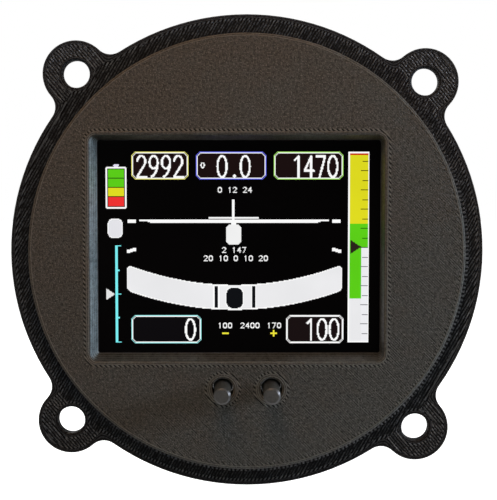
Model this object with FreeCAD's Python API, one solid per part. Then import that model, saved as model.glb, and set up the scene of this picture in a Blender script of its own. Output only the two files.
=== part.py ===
import FreeCAD, Part
import math
import os

V = FreeCAD.Vector

# All sizes are in millimetres. The face looks towards -Y, +Z is up and +X is to the viewer's right.
# The origin is the centre of the bolt circle, on the flange's front face, which meets the panel.

# Flange and ears, to the usual pattern of a 3 1/8 inch instrument
flange_dia = 85.5
flange_thickness = 3.0
ear_stand_off = 1.7
ear_hole_dia = 4.9
ear_radius = 6.0
ear_fillet = 3.0
ear_clocking = -1.24
ear_count = 4
hole_chamfer_front = 0.3
hole_chamfer_rear = 0.8

# Raised round face, which passes through the panel's cut-out
face_dia = 78.5
face_rise = 3.0
face_wall = 5.4
face_edge_chamfer = 0.4

# Display module: active area, glass, backlight and what clamps them
active_width = 48.96
active_height = 36.72
active_centre_x = -1.67
active_centre_z = 0.61
glass_left_margin = 2.75
glass_right_margin = 8.55
glass_end_margin = 3.0
glass_thickness = 1.4
filter_thickness = 0.7
backlight_thickness = 1.1
backlight_corner = 0.8
driver_ledge = 3.0
gasket_thickness = 0.3
gasket_inset = 0.4
display_clearance = 0.2
foam_thickness = 1.1
foam_border = 5.0
foam_corner = 1.0

# Short ribs that locate the glass from above and below
rib_thickness = 1.0
rib_height = 2.2
rib_length = 10.0
rib_offset = 16.0

# Window: borders round the active area at the glass, and how far each wall flares out to the face
window_border_left = 1.15
window_border_right = 1.63
window_border_top = 1.34
window_border_bottom = 0.95
window_flare_left = 1.0
window_flare_right = 0.2
window_flare_top = 0.8
window_flare_bottom = 0.8
window_corner = 1.4
window_corner_rear = 0.4
window_edge_chamfer = 0.3

# Collar behind the flange, and the lip that centres the rear case
case_dia = 79.0
collar_depth = 3.0
lip_thickness = 1.0
lip_height = 1.6
lip_clearance = 0.2

# Rear case
case_wall = 2.0
case_back = 2.5
case_length = 34.0
case_edge_chamfer = 1.5
column_web = 4.0
web_gap = 0.6

# Board, and the four screws that clamp it between bezel and case
board_thickness = 1.6
board_clearance = 0.3
screw_x = 17.0
boss_radius = 4.0
boss_gap = 0.33
screw_dia = 3.0
screw_engagement = 4.5
screw_clearance = 0.15
screw_tip_gap = 0.8
screw_head_dia = 5.5
screw_head_height = 3.0
screw_head_recess = 0.2
screw_hex = 2.5
screw_hex_depth = 1.5
counterbore_clearance = 0.35
insert_dia = 4.6
insert_length = 4.0
insert_fit = 0.05

# Push buttons: a long stem on a snap-action switch
button_spacing = 8.76
button_reach = 7.4
button_bore_dia = 3.9
bore_chamfer = 0.25
stem_dia = 3.0
stem_chamfer = 0.35
collar_dia = 4.0
switch_side = 6.0
switch_height = 3.0
switch_floor = 1.0
switch_well_dia = 4.8
switch_gap = 0.05
switch_to_glass = 0.57
cover_thickness = 0.3
cover_hole_dia = 3.6
clip_width = 1.6
clip_length = 1.5
dome_dia = 4.4
dome_height = 0.55
dome_thickness = 0.12
leg_width = 0.7
leg_thickness = 0.3
leg_inset = 0.75
leg_beyond = 1.0
leg_clearance = 0.15

# Display ribbon and its socket
ribbon_width = 16.0
ribbon_thickness = 0.3
ribbon_bond = 2.0
ribbon_stand_off = 1.9
ribbon_bend = 0.7
notch_gap = 0.9
notch_width = 20.0
socket_length = 18.0
socket_depth = 5.5
socket_height = 2.0
socket_mouth_height = 1.4
socket_gap = 4.4
socket_slot_depth = 2.0
socket_slot_clearance = 0.05

# Air pressure sensors, hoses and bulkhead fittings
port_x = 25.0
port_z = -14.0
sensor_side = 8.0
sensor_height = 4.0
port_dia = 3.0
port_bore_dia = 1.2
port_length = 5.0
hose_wall = 1.4
hose_fit = 0.05
hose_gap = 0.6
thread_dia = 8.0
thread_fit = 0.05
thread_spare = 1.0
fitting_hex = 11.0
fitting_hex_height = 3.5
fitting_stub_length = 6.0
fitting_nut_height = 3.0
fitting_hole_clearance = 0.15
barb_dia = 6.4
barb_root_dia = 4.8
barb_neck = 1.5
barb_pitch = 4.0
barb_count = 3
barb_bore_dia = 2.0

# Nine-way supply connector
connector_z = -16.0
connector_width = 30.8
connector_height = 12.5
connector_corner = 2.0
connector_plate = 0.8
shell_width = 16.3
shell_height = 7.9
shell_wall = 0.4
shell_length = 5.8
shell_slope = 10.0
shell_corner = 1.6
shell_gap = 0.05
insulator_front = 0.6
insulator_rear_width = 17.0
insulator_rear_height = 9.6
insulator_rear_length = 9.0
insulator_corner = 0.6
cutout_clearance = 0.3
contact_pitch = 2.77
contact_row_gap = 2.84
contact_rows = (5, 4)
contact_dia = 1.0
contact_recess = 0.6
contact_tail_length = 4.0
post_spacing = 24.99
post_hex = 4.75
post_length = 5.0
post_thread_dia = 2.4
post_bore_depth = 4.0
post_stud_dia = 2.8
post_nut_hex = 5.5
post_nut_height = 2.4
post_stud_spare = 1.0
post_hole_clearance = 0.2
supply_socket_length = 15.0
supply_socket_width = 6.0
supply_socket_height = 7.0
supply_ribbon_width = 12.0
supply_ribbon_thickness = 1.0
supply_ribbon_slack = 4.5
supply_ribbon_lead_share = 0.2
supply_ribbon_bend = 1.4

# Battery, its tape, lead and socket
battery_width = 48.0
battery_height = 20.0
battery_thickness = 6.0
battery_z = 12.9
battery_corner = 2.0
tape_thickness = 0.8
tape_inset = 4.0
lead_z = 10.0
lead_reach = 3.0
lead_dia = 1.4
lead_pitch = 2.2
lead_bend = 2.4
lead_hole_clearance = 0.05
battery_socket_width = 6.0
battery_socket_length = 8.0
battery_socket_height = 6.5

# Parts soldered to the board's rear face
processor_x = -6.0
processor_z = 6.0
processor_width = 18.0
processor_length = 22.0
processor_board = 0.8
can_height = 2.4
can_border = 1.2
can_corner = 0.8
antenna_length = 6.0
motion_x = 10.0
motion_z = 4.0
motion_side = 5.0
motion_height = 1.2
regulator_x = 12.0
regulator_z = 14.0
regulator_width = 6.6
regulator_length = 6.1
regulator_height = 2.3
regulator_tab = 1.0
regulator_tab_thickness = 0.5
inductor_x = 7.0
inductor_z = 27.0
inductor_side = 7.0
inductor_height = 4.0
inductor_waist_dia = 4.6
inductor_flange = 1.0
capacitor_x = -5.0
capacitor_z = 27.0
capacitor_dia = 6.3
capacitor_height = 7.7
capacitor_base = 1.0
capacitor_pitch = 7.6
capacitor_groove_depth = 0.3
capacitor_groove_width = 0.6
capacitor_foot = 0.9

# Radii and depths worked out from the sizes above
bolt_radius = flange_dia / 2 + ear_stand_off
case_radius = case_dia / 2
case_inner_radius = case_radius - case_wall
lip_radius = case_inner_radius - lip_clearance
cavity_radius = lip_radius - lip_thickness
board_radius = cavity_radius - board_clearance
face_y = -face_rise
floor_y = face_y + face_wall
glass_y = floor_y + gasket_thickness
ledge_y = glass_y + filter_thickness
glass_back_y = glass_y + glass_thickness
backlight_back_y = glass_back_y + backlight_thickness
board_y = backlight_back_y + foam_thickness
board_back_y = board_y + board_thickness
collar_y = flange_thickness + collar_depth
lip_y = collar_y + lip_height
case_back_y = collar_y + case_length
case_inner_y = case_back_y - case_back
head_seat_y = case_back_y - screw_head_height - screw_head_recess
screw_tip_y = board_y - screw_engagement
glass_x0 = active_centre_x - active_width / 2 - glass_left_margin
glass_x1 = active_centre_x + active_width / 2 + glass_right_margin
glass_z0 = active_centre_z - active_height / 2 - glass_end_margin
glass_z1 = active_centre_z + active_height / 2 + glass_end_margin
filter_x1 = glass_x1 - driver_ledge
ribbon_x = glass_x1 + ribbon_stand_off
notch_x = ribbon_x - notch_gap
socket_x1 = notch_x - socket_gap
port_tip_y = board_back_y + sensor_height + port_length
thread_end_y = case_inner_y - fitting_nut_height - thread_spare
plate_y = case_back_y + connector_plate
insulator_rear_y = case_back_y - insulator_rear_length
stem_foot_y = board_y - switch_floor - dome_height - switch_gap
screw_z = glass_z1 + display_clearance + rib_thickness + boss_gap + boss_radius
button_z = glass_z0 - switch_to_glass - cover_thickness - switch_side / 2
battery_back_y = case_inner_y - tape_thickness
battery_front_y = battery_back_y - battery_thickness
lead_x = -battery_width / 2 - lead_reach


def cylinder(radius, y0, y1, x=0.0, z=0.0):
    return Part.makeCylinder(radius, y1 - y0, V(x, y0, z), V(0, 1, 0))


def cone(radius0, radius1, y0, y1, x=0.0, z=0.0):
    return Part.makeCone(radius0, radius1, y1 - y0, V(x, y0, z), V(0, 1, 0))


def tube(outer, inner, y0, y1, x=0.0, z=0.0):
    return cylinder(outer, y0, y1, x, z).cut(cylinder(inner, y0, y1, x, z))


def block(x0, x1, y0, y1, z0, z1):
    return Part.makeBox(x1 - x0, y1 - y0, z1 - z0, V(x0, y0, z0))


def centred_block(x, z, width, height, y0, y1):
    return block(x - width / 2, x + width / 2, y0, y1, z - height / 2, z + height / 2)


def polar(radius, angle, y=0.0):
    turn = math.radians(angle)
    return V(radius * math.cos(turn), y, radius * math.sin(turn))


def hexagon(across_flats, y0, y1, x, z):
    """Hexagonal prism along Y, with a corner towards +X."""
    corner = across_flats / math.sqrt(3)
    points = [V(x, y0, z) + polar(corner, 60 * step) for step in range(7)]
    return Part.Face(Part.makePolygon(points)).extrude(V(0, y1 - y0, 0))


def corner_arc(before, corner, after, radius):
    """Start, middle and end of the arc that rounds a corner, tangent to both of its runs."""
    arriving = (corner - before).normalize()
    leaving = (after - corner).normalize()
    half_turn = arriving.getAngle(leaving) / 2
    setback = radius * math.tan(half_turn)
    inward = (leaving - arriving).normalize()
    middle = corner + inward * (radius / math.cos(half_turn) - radius)
    return corner - arriving * setback, middle, corner + leaving * setback


def rounded_path(points, radius):
    """Open wire of straight runs joined by tangent arcs."""
    edges = []
    start = points[0]
    for before, corner, after in zip(points, points[1:], points[2:]):
        arc = corner_arc(before, corner, after, radius)
        edges.append(Part.LineSegment(start, arc[0]).toShape())
        edges.append(Part.Arc(*arc).toShape())
        start = arc[2]
    edges.append(Part.LineSegment(start, points[-1]).toShape())
    return Part.Wire(edges)


def rounded_loop(corners, radius):
    """Closed wire through the corners, each one rounded by a tangent arc."""
    count = len(corners)
    arcs = []
    for index in range(count):
        arcs.append(corner_arc(corners[index - 1], corners[index], corners[(index + 1) % count], radius))
    edges = []
    for arc, following in zip(arcs, arcs[1:] + arcs[:1]):
        edges.append(Part.Arc(*arc).toShape())
        edges.append(Part.LineSegment(arc[2], following[0]).toShape())
    return Part.Wire(edges)


def rounded_rectangle(x0, x1, z0, z1, radius, y):
    return rounded_loop([V(x0, y, z0), V(x1, y, z0), V(x1, y, z1), V(x0, y, z1)], radius)


def cross_section(centre, half, side):
    """Closed rectangle round a centre, from the vectors to the middles of two of its sides."""
    corners = [centre - half - side, centre + half - side, centre + half + side, centre - half + side]
    return Part.makePolygon(corners + corners[:1])


def prism(wire, depth):
    return Part.Face(wire).extrude(V(0, depth, 0))


def edges_at(shape, y):
    """Edges that lie in the plane at depth y."""
    near = 0.01
    return [edge for edge in shape.Edges
            if abs(edge.BoundBox.YMin - y) < near and abs(edge.BoundBox.YMax - y) < near]


def screw_places():
    return [(side_x * screw_x, side_z * screw_z) for side_x in (-1, 1) for side_z in (-1, 1)]


def port_places():
    return {"pitot": port_x, "static": -port_x}


def button_places():
    return {"left": -button_spacing / 2, "right": button_spacing / 2}


def post_places():
    return [-post_spacing / 2, post_spacing / 2]


def ear_angles():
    return [45 + ear_clocking + 360 / ear_count * index for index in range(ear_count)]


def flange_outline():
    """Flange circle with round ears, joined by concave fillets tangent to both."""
    flange_radius = flange_dia / 2
    centre_radius = flange_radius + ear_fillet
    reach = ear_radius + ear_fillet
    cosine = (centre_radius ** 2 + bolt_radius ** 2 - reach ** 2) / (2 * centre_radius * bolt_radius)
    spread = math.degrees(math.acos(cosine))
    edges = []
    for angle in ear_angles():
        ear = polar(bolt_radius, angle)
        blends = []
        for side in (-1, 1):
            centre = polar(centre_radius, angle + side * spread)
            on_flange = polar(flange_radius, angle + side * spread)
            on_ear = ear + (centre - ear) * (ear_radius / reach)
            towards = (on_flange + on_ear - centre * 2).normalize()
            blends.append((on_flange, centre + towards * ear_fillet, on_ear))
        into, out_of = blends
        next_angle = angle + 360 / ear_count
        ear_tip = polar(bolt_radius + ear_radius, angle)
        flange_middle = polar(flange_radius, (angle + next_angle) / 2)
        flange_end = polar(flange_radius, next_angle - spread)
        edges.append(Part.Arc(*into).toShape())
        edges.append(Part.Arc(into[2], ear_tip, out_of[2]).toShape())
        edges.append(Part.Arc(out_of[2], out_of[1], out_of[0]).toShape())
        edges.append(Part.Arc(out_of[0], flange_middle, flange_end).toShape())
    return Part.Wire(edges)


def ear_hole_cutters():
    """Ear holes with a small chamfer in front and a wider one behind."""
    radius = ear_hole_dia / 2
    rear_y = flange_thickness - hole_chamfer_rear
    cutters = []
    for angle in ear_angles():
        x, _, z = polar(bolt_radius, angle)
        cutters.append(cylinder(radius, 0, flange_thickness, x, z))
        cutters.append(cone(radius + hole_chamfer_front, radius, 0, hole_chamfer_front, x, z))
        cutters.append(cone(radius, radius + hole_chamfer_rear, rear_y, flange_thickness, x, z))
    return cutters


def window_bounds(flare):
    """Window edges x0, x1, z0, z1, from the glass (flare 0) to the face (flare 1)."""
    x0 = active_centre_x - active_width / 2 - window_border_left - window_flare_left * flare
    x1 = active_centre_x + active_width / 2 + window_border_right + window_flare_right * flare
    z0 = active_centre_z - active_height / 2 - window_border_bottom - window_flare_bottom * flare
    z1 = active_centre_z + active_height / 2 + window_border_top + window_flare_top * flare
    return x0, x1, z0, z1


def window_loop(y, spread=0.0):
    """Outline of the window at depth y, drawn out on all sides by a spread."""
    flare = (glass_y - y) / (glass_y - face_y)
    x0, x1, z0, z1 = window_bounds(flare)
    corner = window_corner_rear + (window_corner - window_corner_rear) * flare
    return rounded_rectangle(x0 - spread, x1 + spread, z0 - spread, z1 + spread, corner + spread, y)


def window_cutter():
    """Window with four sloping walls, and a small chamfer where they meet the face."""
    walls = Part.makeLoft([window_loop(face_y), window_loop(glass_y)], True, True)
    chamfer_y = face_y + window_edge_chamfer
    chamfer = Part.makeLoft([window_loop(face_y, window_edge_chamfer), window_loop(chamfer_y)], True, True)
    return walls.fuse(chamfer)


def face_disc():
    disc = cylinder(face_dia / 2, face_y, 0)
    return disc.makeChamfer(face_edge_chamfer, edges_at(disc, face_y))


def glass_pocket():
    return block(glass_x0 - display_clearance, glass_x1 + display_clearance, floor_y, lip_y,
                 glass_z0 - display_clearance, glass_z1 + display_clearance)


def locating_ribs():
    """Two short ribs above the glass and two below it."""
    low = glass_z0 - display_clearance - rib_thickness
    high = glass_z1 + display_clearance
    ribs = []
    for x in (-rib_offset, rib_offset):
        for z in (low, high):
            ribs.append(block(x - rib_length / 2, x + rib_length / 2, floor_y, floor_y + rib_height,
                              z, z + rib_thickness))
    return ribs


def board_bosses():
    limit = cylinder(lip_radius, floor_y, board_y)
    return [cylinder(boss_radius, floor_y, board_y, x, z).common(limit) for x, z in screw_places()]


def insert_holes():
    """Stepped holes for the inserts and, beyond them, the screws' tips."""
    cutters = []
    for x, z in screw_places():
        cutters.append(cylinder(insert_dia / 2 + insert_fit, board_y - insert_length, board_y, x, z))
        cutters.append(cylinder(screw_dia / 2 + screw_clearance, screw_tip_y - screw_tip_gap, board_y, x, z))
    return cutters


def button_bores():
    radius = button_bore_dia / 2
    cutters = []
    for x in button_places().values():
        cutters.append(cylinder(radius, face_y, floor_y, x, button_z))
        cutters.append(cone(radius + bore_chamfer, radius, face_y, face_y + bore_chamfer, x, button_z))
    return cutters


def front_bezel():
    flange = prism(flange_outline(), flange_thickness)
    collar = cylinder(case_radius, flange_thickness, collar_y)
    lip = cylinder(lip_radius, collar_y, lip_y)
    cavity = cylinder(cavity_radius, floor_y, lip_y)
    rear = flange.fuse([collar, lip]).cut([cavity, glass_pocket()])
    body = face_disc().fuse([rear] + board_bosses() + locating_ribs())
    body = body.cut([window_cutter()] + insert_holes() + button_bores() + ear_hole_cutters())
    return body.removeSplitter()


def case_columns():
    """Screw columns down to the board, each with a web to the case wall."""
    columns = []
    column_radius = math.hypot(screw_x, screw_z)
    for x, z in screw_places():
        column = cylinder(boss_radius, board_back_y, case_inner_y, x, z)
        web = block(column_radius, case_radius - case_wall / 2, lip_y + web_gap, case_inner_y,
                    -column_web / 2, column_web / 2)
        web.rotate(V(0, 0, 0), V(0, 1, 0), -math.degrees(math.atan2(z, x)))
        columns += [column, web]
    return columns


def case_cutters():
    """Screw bores, counterbores, fitting holes and the connector's cut-out and post holes."""
    fitting_hole = thread_dia / 2 + fitting_hole_clearance
    post_hole = post_stud_dia / 2 + post_hole_clearance
    cutters = []
    for x, z in screw_places():
        cutters.append(cylinder(screw_dia / 2 + screw_clearance, board_back_y, case_back_y, x, z))
        cutters.append(cylinder(screw_head_dia / 2 + counterbore_clearance, head_seat_y, case_back_y, x, z))
    for x in port_places().values():
        cutters.append(cylinder(fitting_hole, case_inner_y, case_back_y, x, port_z))
    width = insulator_rear_width + 2 * cutout_clearance
    height = insulator_rear_height + 2 * cutout_clearance
    cutters.append(centred_block(0, connector_z, width, height, case_inner_y, case_back_y))
    for x in post_places():
        cutters.append(cylinder(post_hole, case_inner_y, case_back_y, x, connector_z))
    return cutters


def rear_case():
    shell = cylinder(case_radius, collar_y, case_back_y)
    shell = shell.makeChamfer(case_edge_chamfer, edges_at(shell, case_back_y))
    shell = shell.cut(cylinder(case_inner_radius, collar_y, case_inner_y))
    body = shell.fuse(case_columns()).cut(case_cutters())
    return body.removeSplitter()


def case_screws():
    """Socket-head screws from the rear, through case and board into the bezel's inserts."""
    screws = []
    for x, z in screw_places():
        head = cylinder(screw_head_dia / 2, head_seat_y, head_seat_y + screw_head_height, x, z)
        socket_y = head_seat_y + screw_head_height - screw_hex_depth
        head = head.cut(hexagon(screw_hex, socket_y, head_seat_y + screw_head_height, x, z))
        screws.append(head.fuse(cylinder(screw_dia / 2, screw_tip_y, head_seat_y, x, z)))
    return Part.makeCompound(screws)


def threaded_inserts():
    inner = screw_dia / 2 + insert_fit
    return Part.makeCompound([tube(insert_dia / 2, inner, board_y - insert_length, board_y, x, z)
                              for x, z in screw_places()])


def display_gasket():
    outer = rounded_rectangle(glass_x0 + gasket_inset, filter_x1 - gasket_inset, glass_z0 + gasket_inset,
                              glass_z1 - gasket_inset, window_corner, floor_y)
    inner = rounded_rectangle(*window_bounds(0), window_corner_rear, floor_y)
    return prism(outer, gasket_thickness).cut(prism(inner, gasket_thickness))


def display_glass():
    """Colour filter glass in front, and behind it the wider glass with the driver's ledge."""
    filter_glass = block(glass_x0, filter_x1, glass_y, ledge_y, glass_z0, glass_z1)
    carrier_glass = block(glass_x0, glass_x1, ledge_y, glass_back_y, glass_z0, glass_z1)
    return filter_glass.fuse(carrier_glass).removeSplitter()


def display_backlight():
    wire = rounded_rectangle(glass_x0, filter_x1, glass_z0, glass_z1, backlight_corner, glass_back_y)
    return prism(wire, backlight_thickness)


def foam_pad():
    wire = rounded_rectangle(glass_x0 + foam_border, filter_x1 - foam_border, glass_z0 + foam_border,
                             glass_z1 - foam_border, foam_corner, backlight_back_y)
    return prism(wire, foam_thickness)


def display_ribbon():
    """Flat ribbon from the glass ledge, round the board's notch, into the socket behind it."""
    start_y = ledge_y - ribbon_thickness / 2
    return_y = board_back_y + socket_mouth_height
    z = active_centre_z
    start = V(glass_x1 - ribbon_bond, start_y, z)
    end = V(socket_x1 - socket_slot_depth, return_y, z)
    path = rounded_path([start, V(ribbon_x, start_y, z), V(ribbon_x, return_y, z), end], ribbon_bend)
    profile = cross_section(start, V(0, ribbon_thickness / 2, 0), V(0, 0, ribbon_width / 2))
    return path.makePipeShell([profile], True, False)


def ribbon_socket():
    body = block(socket_x1 - socket_depth, socket_x1, board_back_y, board_back_y + socket_height,
                 active_centre_z - socket_length / 2, active_centre_z + socket_length / 2)
    mouth_y = board_back_y + socket_mouth_height
    half_height = ribbon_thickness / 2 + socket_slot_clearance
    half_width = ribbon_width / 2 + socket_slot_clearance
    slot = block(socket_x1 - socket_slot_depth - socket_slot_clearance, socket_x1, mouth_y - half_height,
                 mouth_y + half_height, active_centre_z - half_width, active_centre_z + half_width)
    return body.cut(slot)


def leg_places(x):
    offset = switch_side / 2 - leg_inset
    return [(x + side_x * offset, button_z + side_z * offset) for side_x in (-1, 1) for side_z in (-1, 1)]


def main_board():
    board = cylinder(board_radius, board_y, board_back_y)
    cutters = [block(notch_x, case_inner_radius, board_y, board_back_y,
                     active_centre_z - notch_width / 2, active_centre_z + notch_width / 2)]
    for x, z in screw_places():
        cutters.append(cylinder(screw_dia / 2 + screw_clearance, board_y, board_back_y, x, z))
    slot_width = leg_thickness + 2 * leg_clearance
    slot_height = leg_width + 2 * leg_clearance
    for button in button_places().values():
        for x, z in leg_places(button):
            cutters.append(centred_block(x, z, slot_width, slot_height, board_y, board_back_y))
    return board.cut(cutters)


def switch_base(x):
    """Switch body with its round well, on four flat legs through slots in the board."""
    body = centred_block(x, button_z, switch_side, switch_side, board_y - switch_height, board_y)
    well = cylinder(switch_well_dia / 2, board_y - switch_height, board_y - switch_floor, x, button_z)
    legs = [centred_block(leg_x, leg_z, leg_thickness, leg_width, board_y, board_back_y + leg_beyond)
            for leg_x, leg_z in leg_places(x)]
    return body.cut(well).fuse(legs).removeSplitter()


def switch_cover(x):
    """Thin metal cover with two clips folded down the body's sides."""
    top_y = board_y - switch_height - cover_thickness
    plate = centred_block(x, button_z, switch_side, switch_side, top_y, board_y - switch_height)
    clips = []
    for side in (-1, 1):
        z = button_z + side * (switch_side + cover_thickness) / 2
        clips.append(centred_block(x, z, clip_width, cover_thickness, top_y, top_y + clip_length))
    hole = cylinder(cover_hole_dia / 2, top_y, board_y - switch_height, x, button_z)
    return plate.fuse(clips).cut(hole).removeSplitter()


def switch_dome(x):
    """Shallow spherical snap dome, its rim on the floor of the well."""
    half = dome_dia / 2
    radius = (half ** 2 + dome_height ** 2) / (2 * dome_height)
    foot_y = board_y - switch_floor
    centre = V(x, foot_y - dome_height + radius, button_z)
    cap = Part.makeSphere(radius, centre).common(cylinder(half, foot_y - dome_height, foot_y, x, button_z))
    return cap.cut(Part.makeSphere(radius - dome_thickness, centre))


def button_stem(x):
    """Long round stem, held under the cover by its collar."""
    collar_y0 = board_y - switch_height + switch_gap
    tip_y = face_y - button_reach
    stem = cylinder(stem_dia / 2, tip_y, collar_y0, x, button_z)
    stem = stem.makeChamfer(stem_chamfer, edges_at(stem, tip_y))
    return stem.fuse(cylinder(collar_dia / 2, collar_y0, stem_foot_y, x, button_z)).removeSplitter()


def pressure_sensor(x):
    """Square sensor body with one port towards the rear."""
    top_y = board_back_y + sensor_height
    body = centred_block(x, port_z, sensor_side, sensor_side, board_back_y, top_y)
    port = cylinder(port_dia / 2, top_y, port_tip_y, x, port_z)
    return body.fuse(port).cut(cylinder(port_bore_dia / 2, top_y, port_tip_y, x, port_z))


def air_hose(x):
    inner = port_dia / 2 + hose_fit
    start_y = board_back_y + sensor_height + hose_gap
    return tube(inner + hose_wall, inner, start_y, thread_end_y - hose_gap, x, port_z)


def bulkhead_fitting(x):
    """Barbed hose fitting: stub and thread inside the case, hexagon and barbs outside."""
    stub = cylinder(port_dia / 2, thread_end_y - fitting_stub_length, thread_end_y, x, port_z)
    thread = cylinder(thread_dia / 2, thread_end_y, case_back_y, x, port_z)
    hex_end_y = case_back_y + fitting_hex_height
    head = hexagon(fitting_hex, case_back_y, hex_end_y, x, port_z)
    neck = cylinder(barb_root_dia / 2, hex_end_y, hex_end_y + barb_neck, x, port_z)
    barbs = []
    for index in range(barb_count):
        start_y = hex_end_y + barb_neck + index * barb_pitch
        barbs.append(cone(barb_dia / 2, barb_root_dia / 2, start_y, start_y + barb_pitch, x, port_z))
    end_y = hex_end_y + barb_neck + barb_count * barb_pitch
    bore = cylinder(barb_bore_dia / 2, thread_end_y - fitting_stub_length, end_y, x, port_z)
    return head.fuse([stub, thread, neck] + barbs).cut(bore).removeSplitter()


def fitting_nut(x):
    nut = hexagon(fitting_hex, case_inner_y - fitting_nut_height, case_inner_y, x, port_z)
    return nut.cut(cylinder(thread_dia / 2 + thread_fit, case_inner_y - fitting_nut_height, case_inner_y,
                            x, port_z))


def shell_outline(shrink, y):
    """The connector's D shape, with its long side up, drawn in from the shell's outside."""
    half_height = shell_height / 2 - shrink
    half_top = shell_width / 2 - shrink
    half_bottom = half_top - 2 * half_height * math.tan(math.radians(shell_slope))
    high = connector_z + half_height
    low = connector_z - half_height
    corners = [V(-half_bottom, y, low), V(half_bottom, y, low), V(half_top, y, high), V(-half_top, y, high)]
    return rounded_loop(corners, shell_corner - shrink)


def connector_shell():
    """Metal plate against the case's back, with the D-shaped shell round the contacts."""
    plate = prism(rounded_rectangle(-connector_width / 2, connector_width / 2,
                                    connector_z - connector_height / 2, connector_z + connector_height / 2,
                                    connector_corner, case_back_y), connector_plate)
    shell = prism(shell_outline(0, case_back_y), connector_plate + shell_length)
    opening = prism(shell_outline(shell_wall, case_back_y), connector_plate + shell_length)
    holes = [cylinder(post_stud_dia / 2 + post_hole_clearance, case_back_y, plate_y, x, connector_z)
             for x in post_places()]
    return plate.fuse(shell).cut([opening] + holes).removeSplitter()


def contact_places():
    """Contact centres: the longer row above, the shorter row between them below."""
    places = []
    for count, side in zip(contact_rows, (1, -1)):
        for index in range(count):
            x = (index - (count - 1) / 2) * contact_pitch
            places.append((x, connector_z + side * contact_row_gap / 2))
    return places


def connector_insulator():
    """Plastic body inside the shell and through the case wall, with a hole for each contact."""
    front_y = plate_y + insulator_front
    front = prism(shell_outline(shell_wall + shell_gap, case_back_y), front_y - case_back_y)
    rear = prism(rounded_rectangle(-insulator_rear_width / 2, insulator_rear_width / 2,
                                   connector_z - insulator_rear_height / 2,
                                   connector_z + insulator_rear_height / 2,
                                   insulator_corner, insulator_rear_y), insulator_rear_length)
    holes = [cylinder(contact_dia / 2 + shell_gap, insulator_rear_y, front_y, x, z)
             for x, z in contact_places()]
    return front.fuse(rear).cut(holes).removeSplitter()


def connector_contacts():
    """Round pins that stand out of the insulator, and reach behind it as solder tails."""
    tip_y = plate_y + shell_length - contact_recess
    return Part.makeCompound([cylinder(contact_dia / 2, insulator_rear_y - contact_tail_length, tip_y, x, z)
                              for x, z in contact_places()])


def jack_posts():
    """Hexagonal posts that screw the connector to the case and take the plug's screws."""
    stud_end_y = case_inner_y - post_nut_height - post_stud_spare
    posts = []
    for x in post_places():
        post = hexagon(post_hex, plate_y, plate_y + post_length, x, connector_z)
        bore = cylinder(post_thread_dia / 2, plate_y + post_length - post_bore_depth, plate_y + post_length,
                        x, connector_z)
        stud = cylinder(post_stud_dia / 2, stud_end_y, plate_y, x, connector_z)
        posts.append(post.cut(bore).fuse(stud))
    return Part.makeCompound(posts)


def jack_nuts():
    nuts = []
    for x in post_places():
        nut = hexagon(post_nut_hex, case_inner_y - post_nut_height, case_inner_y, x, connector_z)
        nuts.append(nut.cut(cylinder(post_stud_dia / 2 + thread_fit, case_inner_y - post_nut_height,
                                     case_inner_y, x, connector_z)))
    return Part.makeCompound(nuts)


def supply_socket():
    return centred_block(0, connector_z, supply_socket_length, supply_socket_width, board_back_y,
                         board_back_y + supply_socket_height)


def supply_ribbon():
    """Flat cable from the board's socket to the contacts' tails, with a hump of slack."""
    start = V(0, board_back_y + supply_socket_height, connector_z)
    end = V(0, insulator_rear_y - contact_tail_length, connector_z)
    lead = (end - start) * supply_ribbon_lead_share
    top = (start + end) / 2 + V(0, 0, supply_ribbon_slack)
    path = rounded_path([start, start + lead, top, end - lead, end], supply_ribbon_bend)
    profile = cross_section(start, V(supply_ribbon_width / 2, 0, 0), V(0, 0, supply_ribbon_thickness / 2))
    return path.makePipeShell([profile], True, False)


def battery_pack():
    return prism(rounded_rectangle(-battery_width / 2, battery_width / 2, battery_z - battery_height / 2,
                                   battery_z + battery_height / 2, battery_corner, battery_front_y),
                 battery_thickness)


def battery_tape():
    width = battery_width - 2 * tape_inset
    height = battery_height - 2 * tape_inset
    return centred_block(0, battery_z, width, height, battery_back_y, case_inner_y)


def lead_places():
    return [lead_z - lead_pitch / 2, lead_z + lead_pitch / 2]


def battery_lead():
    """Two wires from the cell's end, bent once towards the socket on the board."""
    exit_y = battery_front_y + battery_thickness / 2
    end_y = board_back_y + battery_socket_height / 2
    wires = []
    for z in lead_places():
        path = rounded_path([V(-battery_width / 2, exit_y, z), V(lead_x, exit_y, z), V(lead_x, end_y, z)],
                            lead_bend)
        ring = Part.makeCircle(lead_dia / 2, V(-battery_width / 2, exit_y, z), V(1, 0, 0))
        wires.append(path.makePipeShell([Part.Wire(ring)], True, False))
    return Part.makeCompound(wires)


def battery_socket():
    top_y = board_back_y + battery_socket_height
    body = centred_block(lead_x, lead_z, battery_socket_width, battery_socket_length, board_back_y, top_y)
    holes = [cylinder(lead_dia / 2 + lead_hole_clearance, board_back_y + battery_socket_height / 2, top_y,
                      lead_x, z) for z in lead_places()]
    return body.cut(holes)


def processor_module():
    """Small module board with a screening can and a bare aerial end."""
    can_y = board_back_y + processor_board
    board = centred_block(processor_x, processor_z, processor_width, processor_length, board_back_y, can_y)
    x0 = processor_x - processor_width / 2 + can_border
    x1 = processor_x + processor_width / 2 - can_border
    z0 = processor_z - processor_length / 2 + can_border
    z1 = processor_z + processor_length / 2 - antenna_length
    can = prism(rounded_rectangle(x0, x1, z0, z1, can_corner, can_y), can_height)
    return board.fuse(can)


def motion_sensor():
    return centred_block(motion_x, motion_z, motion_side, motion_side, board_back_y,
                         board_back_y + motion_height)


def voltage_regulator():
    body = centred_block(regulator_x, regulator_z, regulator_width, regulator_length, board_back_y,
                         board_back_y + regulator_height)
    tab_z = regulator_z + (regulator_length + regulator_tab) / 2
    tab = centred_block(regulator_x, tab_z, regulator_width, regulator_tab, board_back_y,
                        board_back_y + regulator_tab_thickness)
    return body.fuse(tab)


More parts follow.
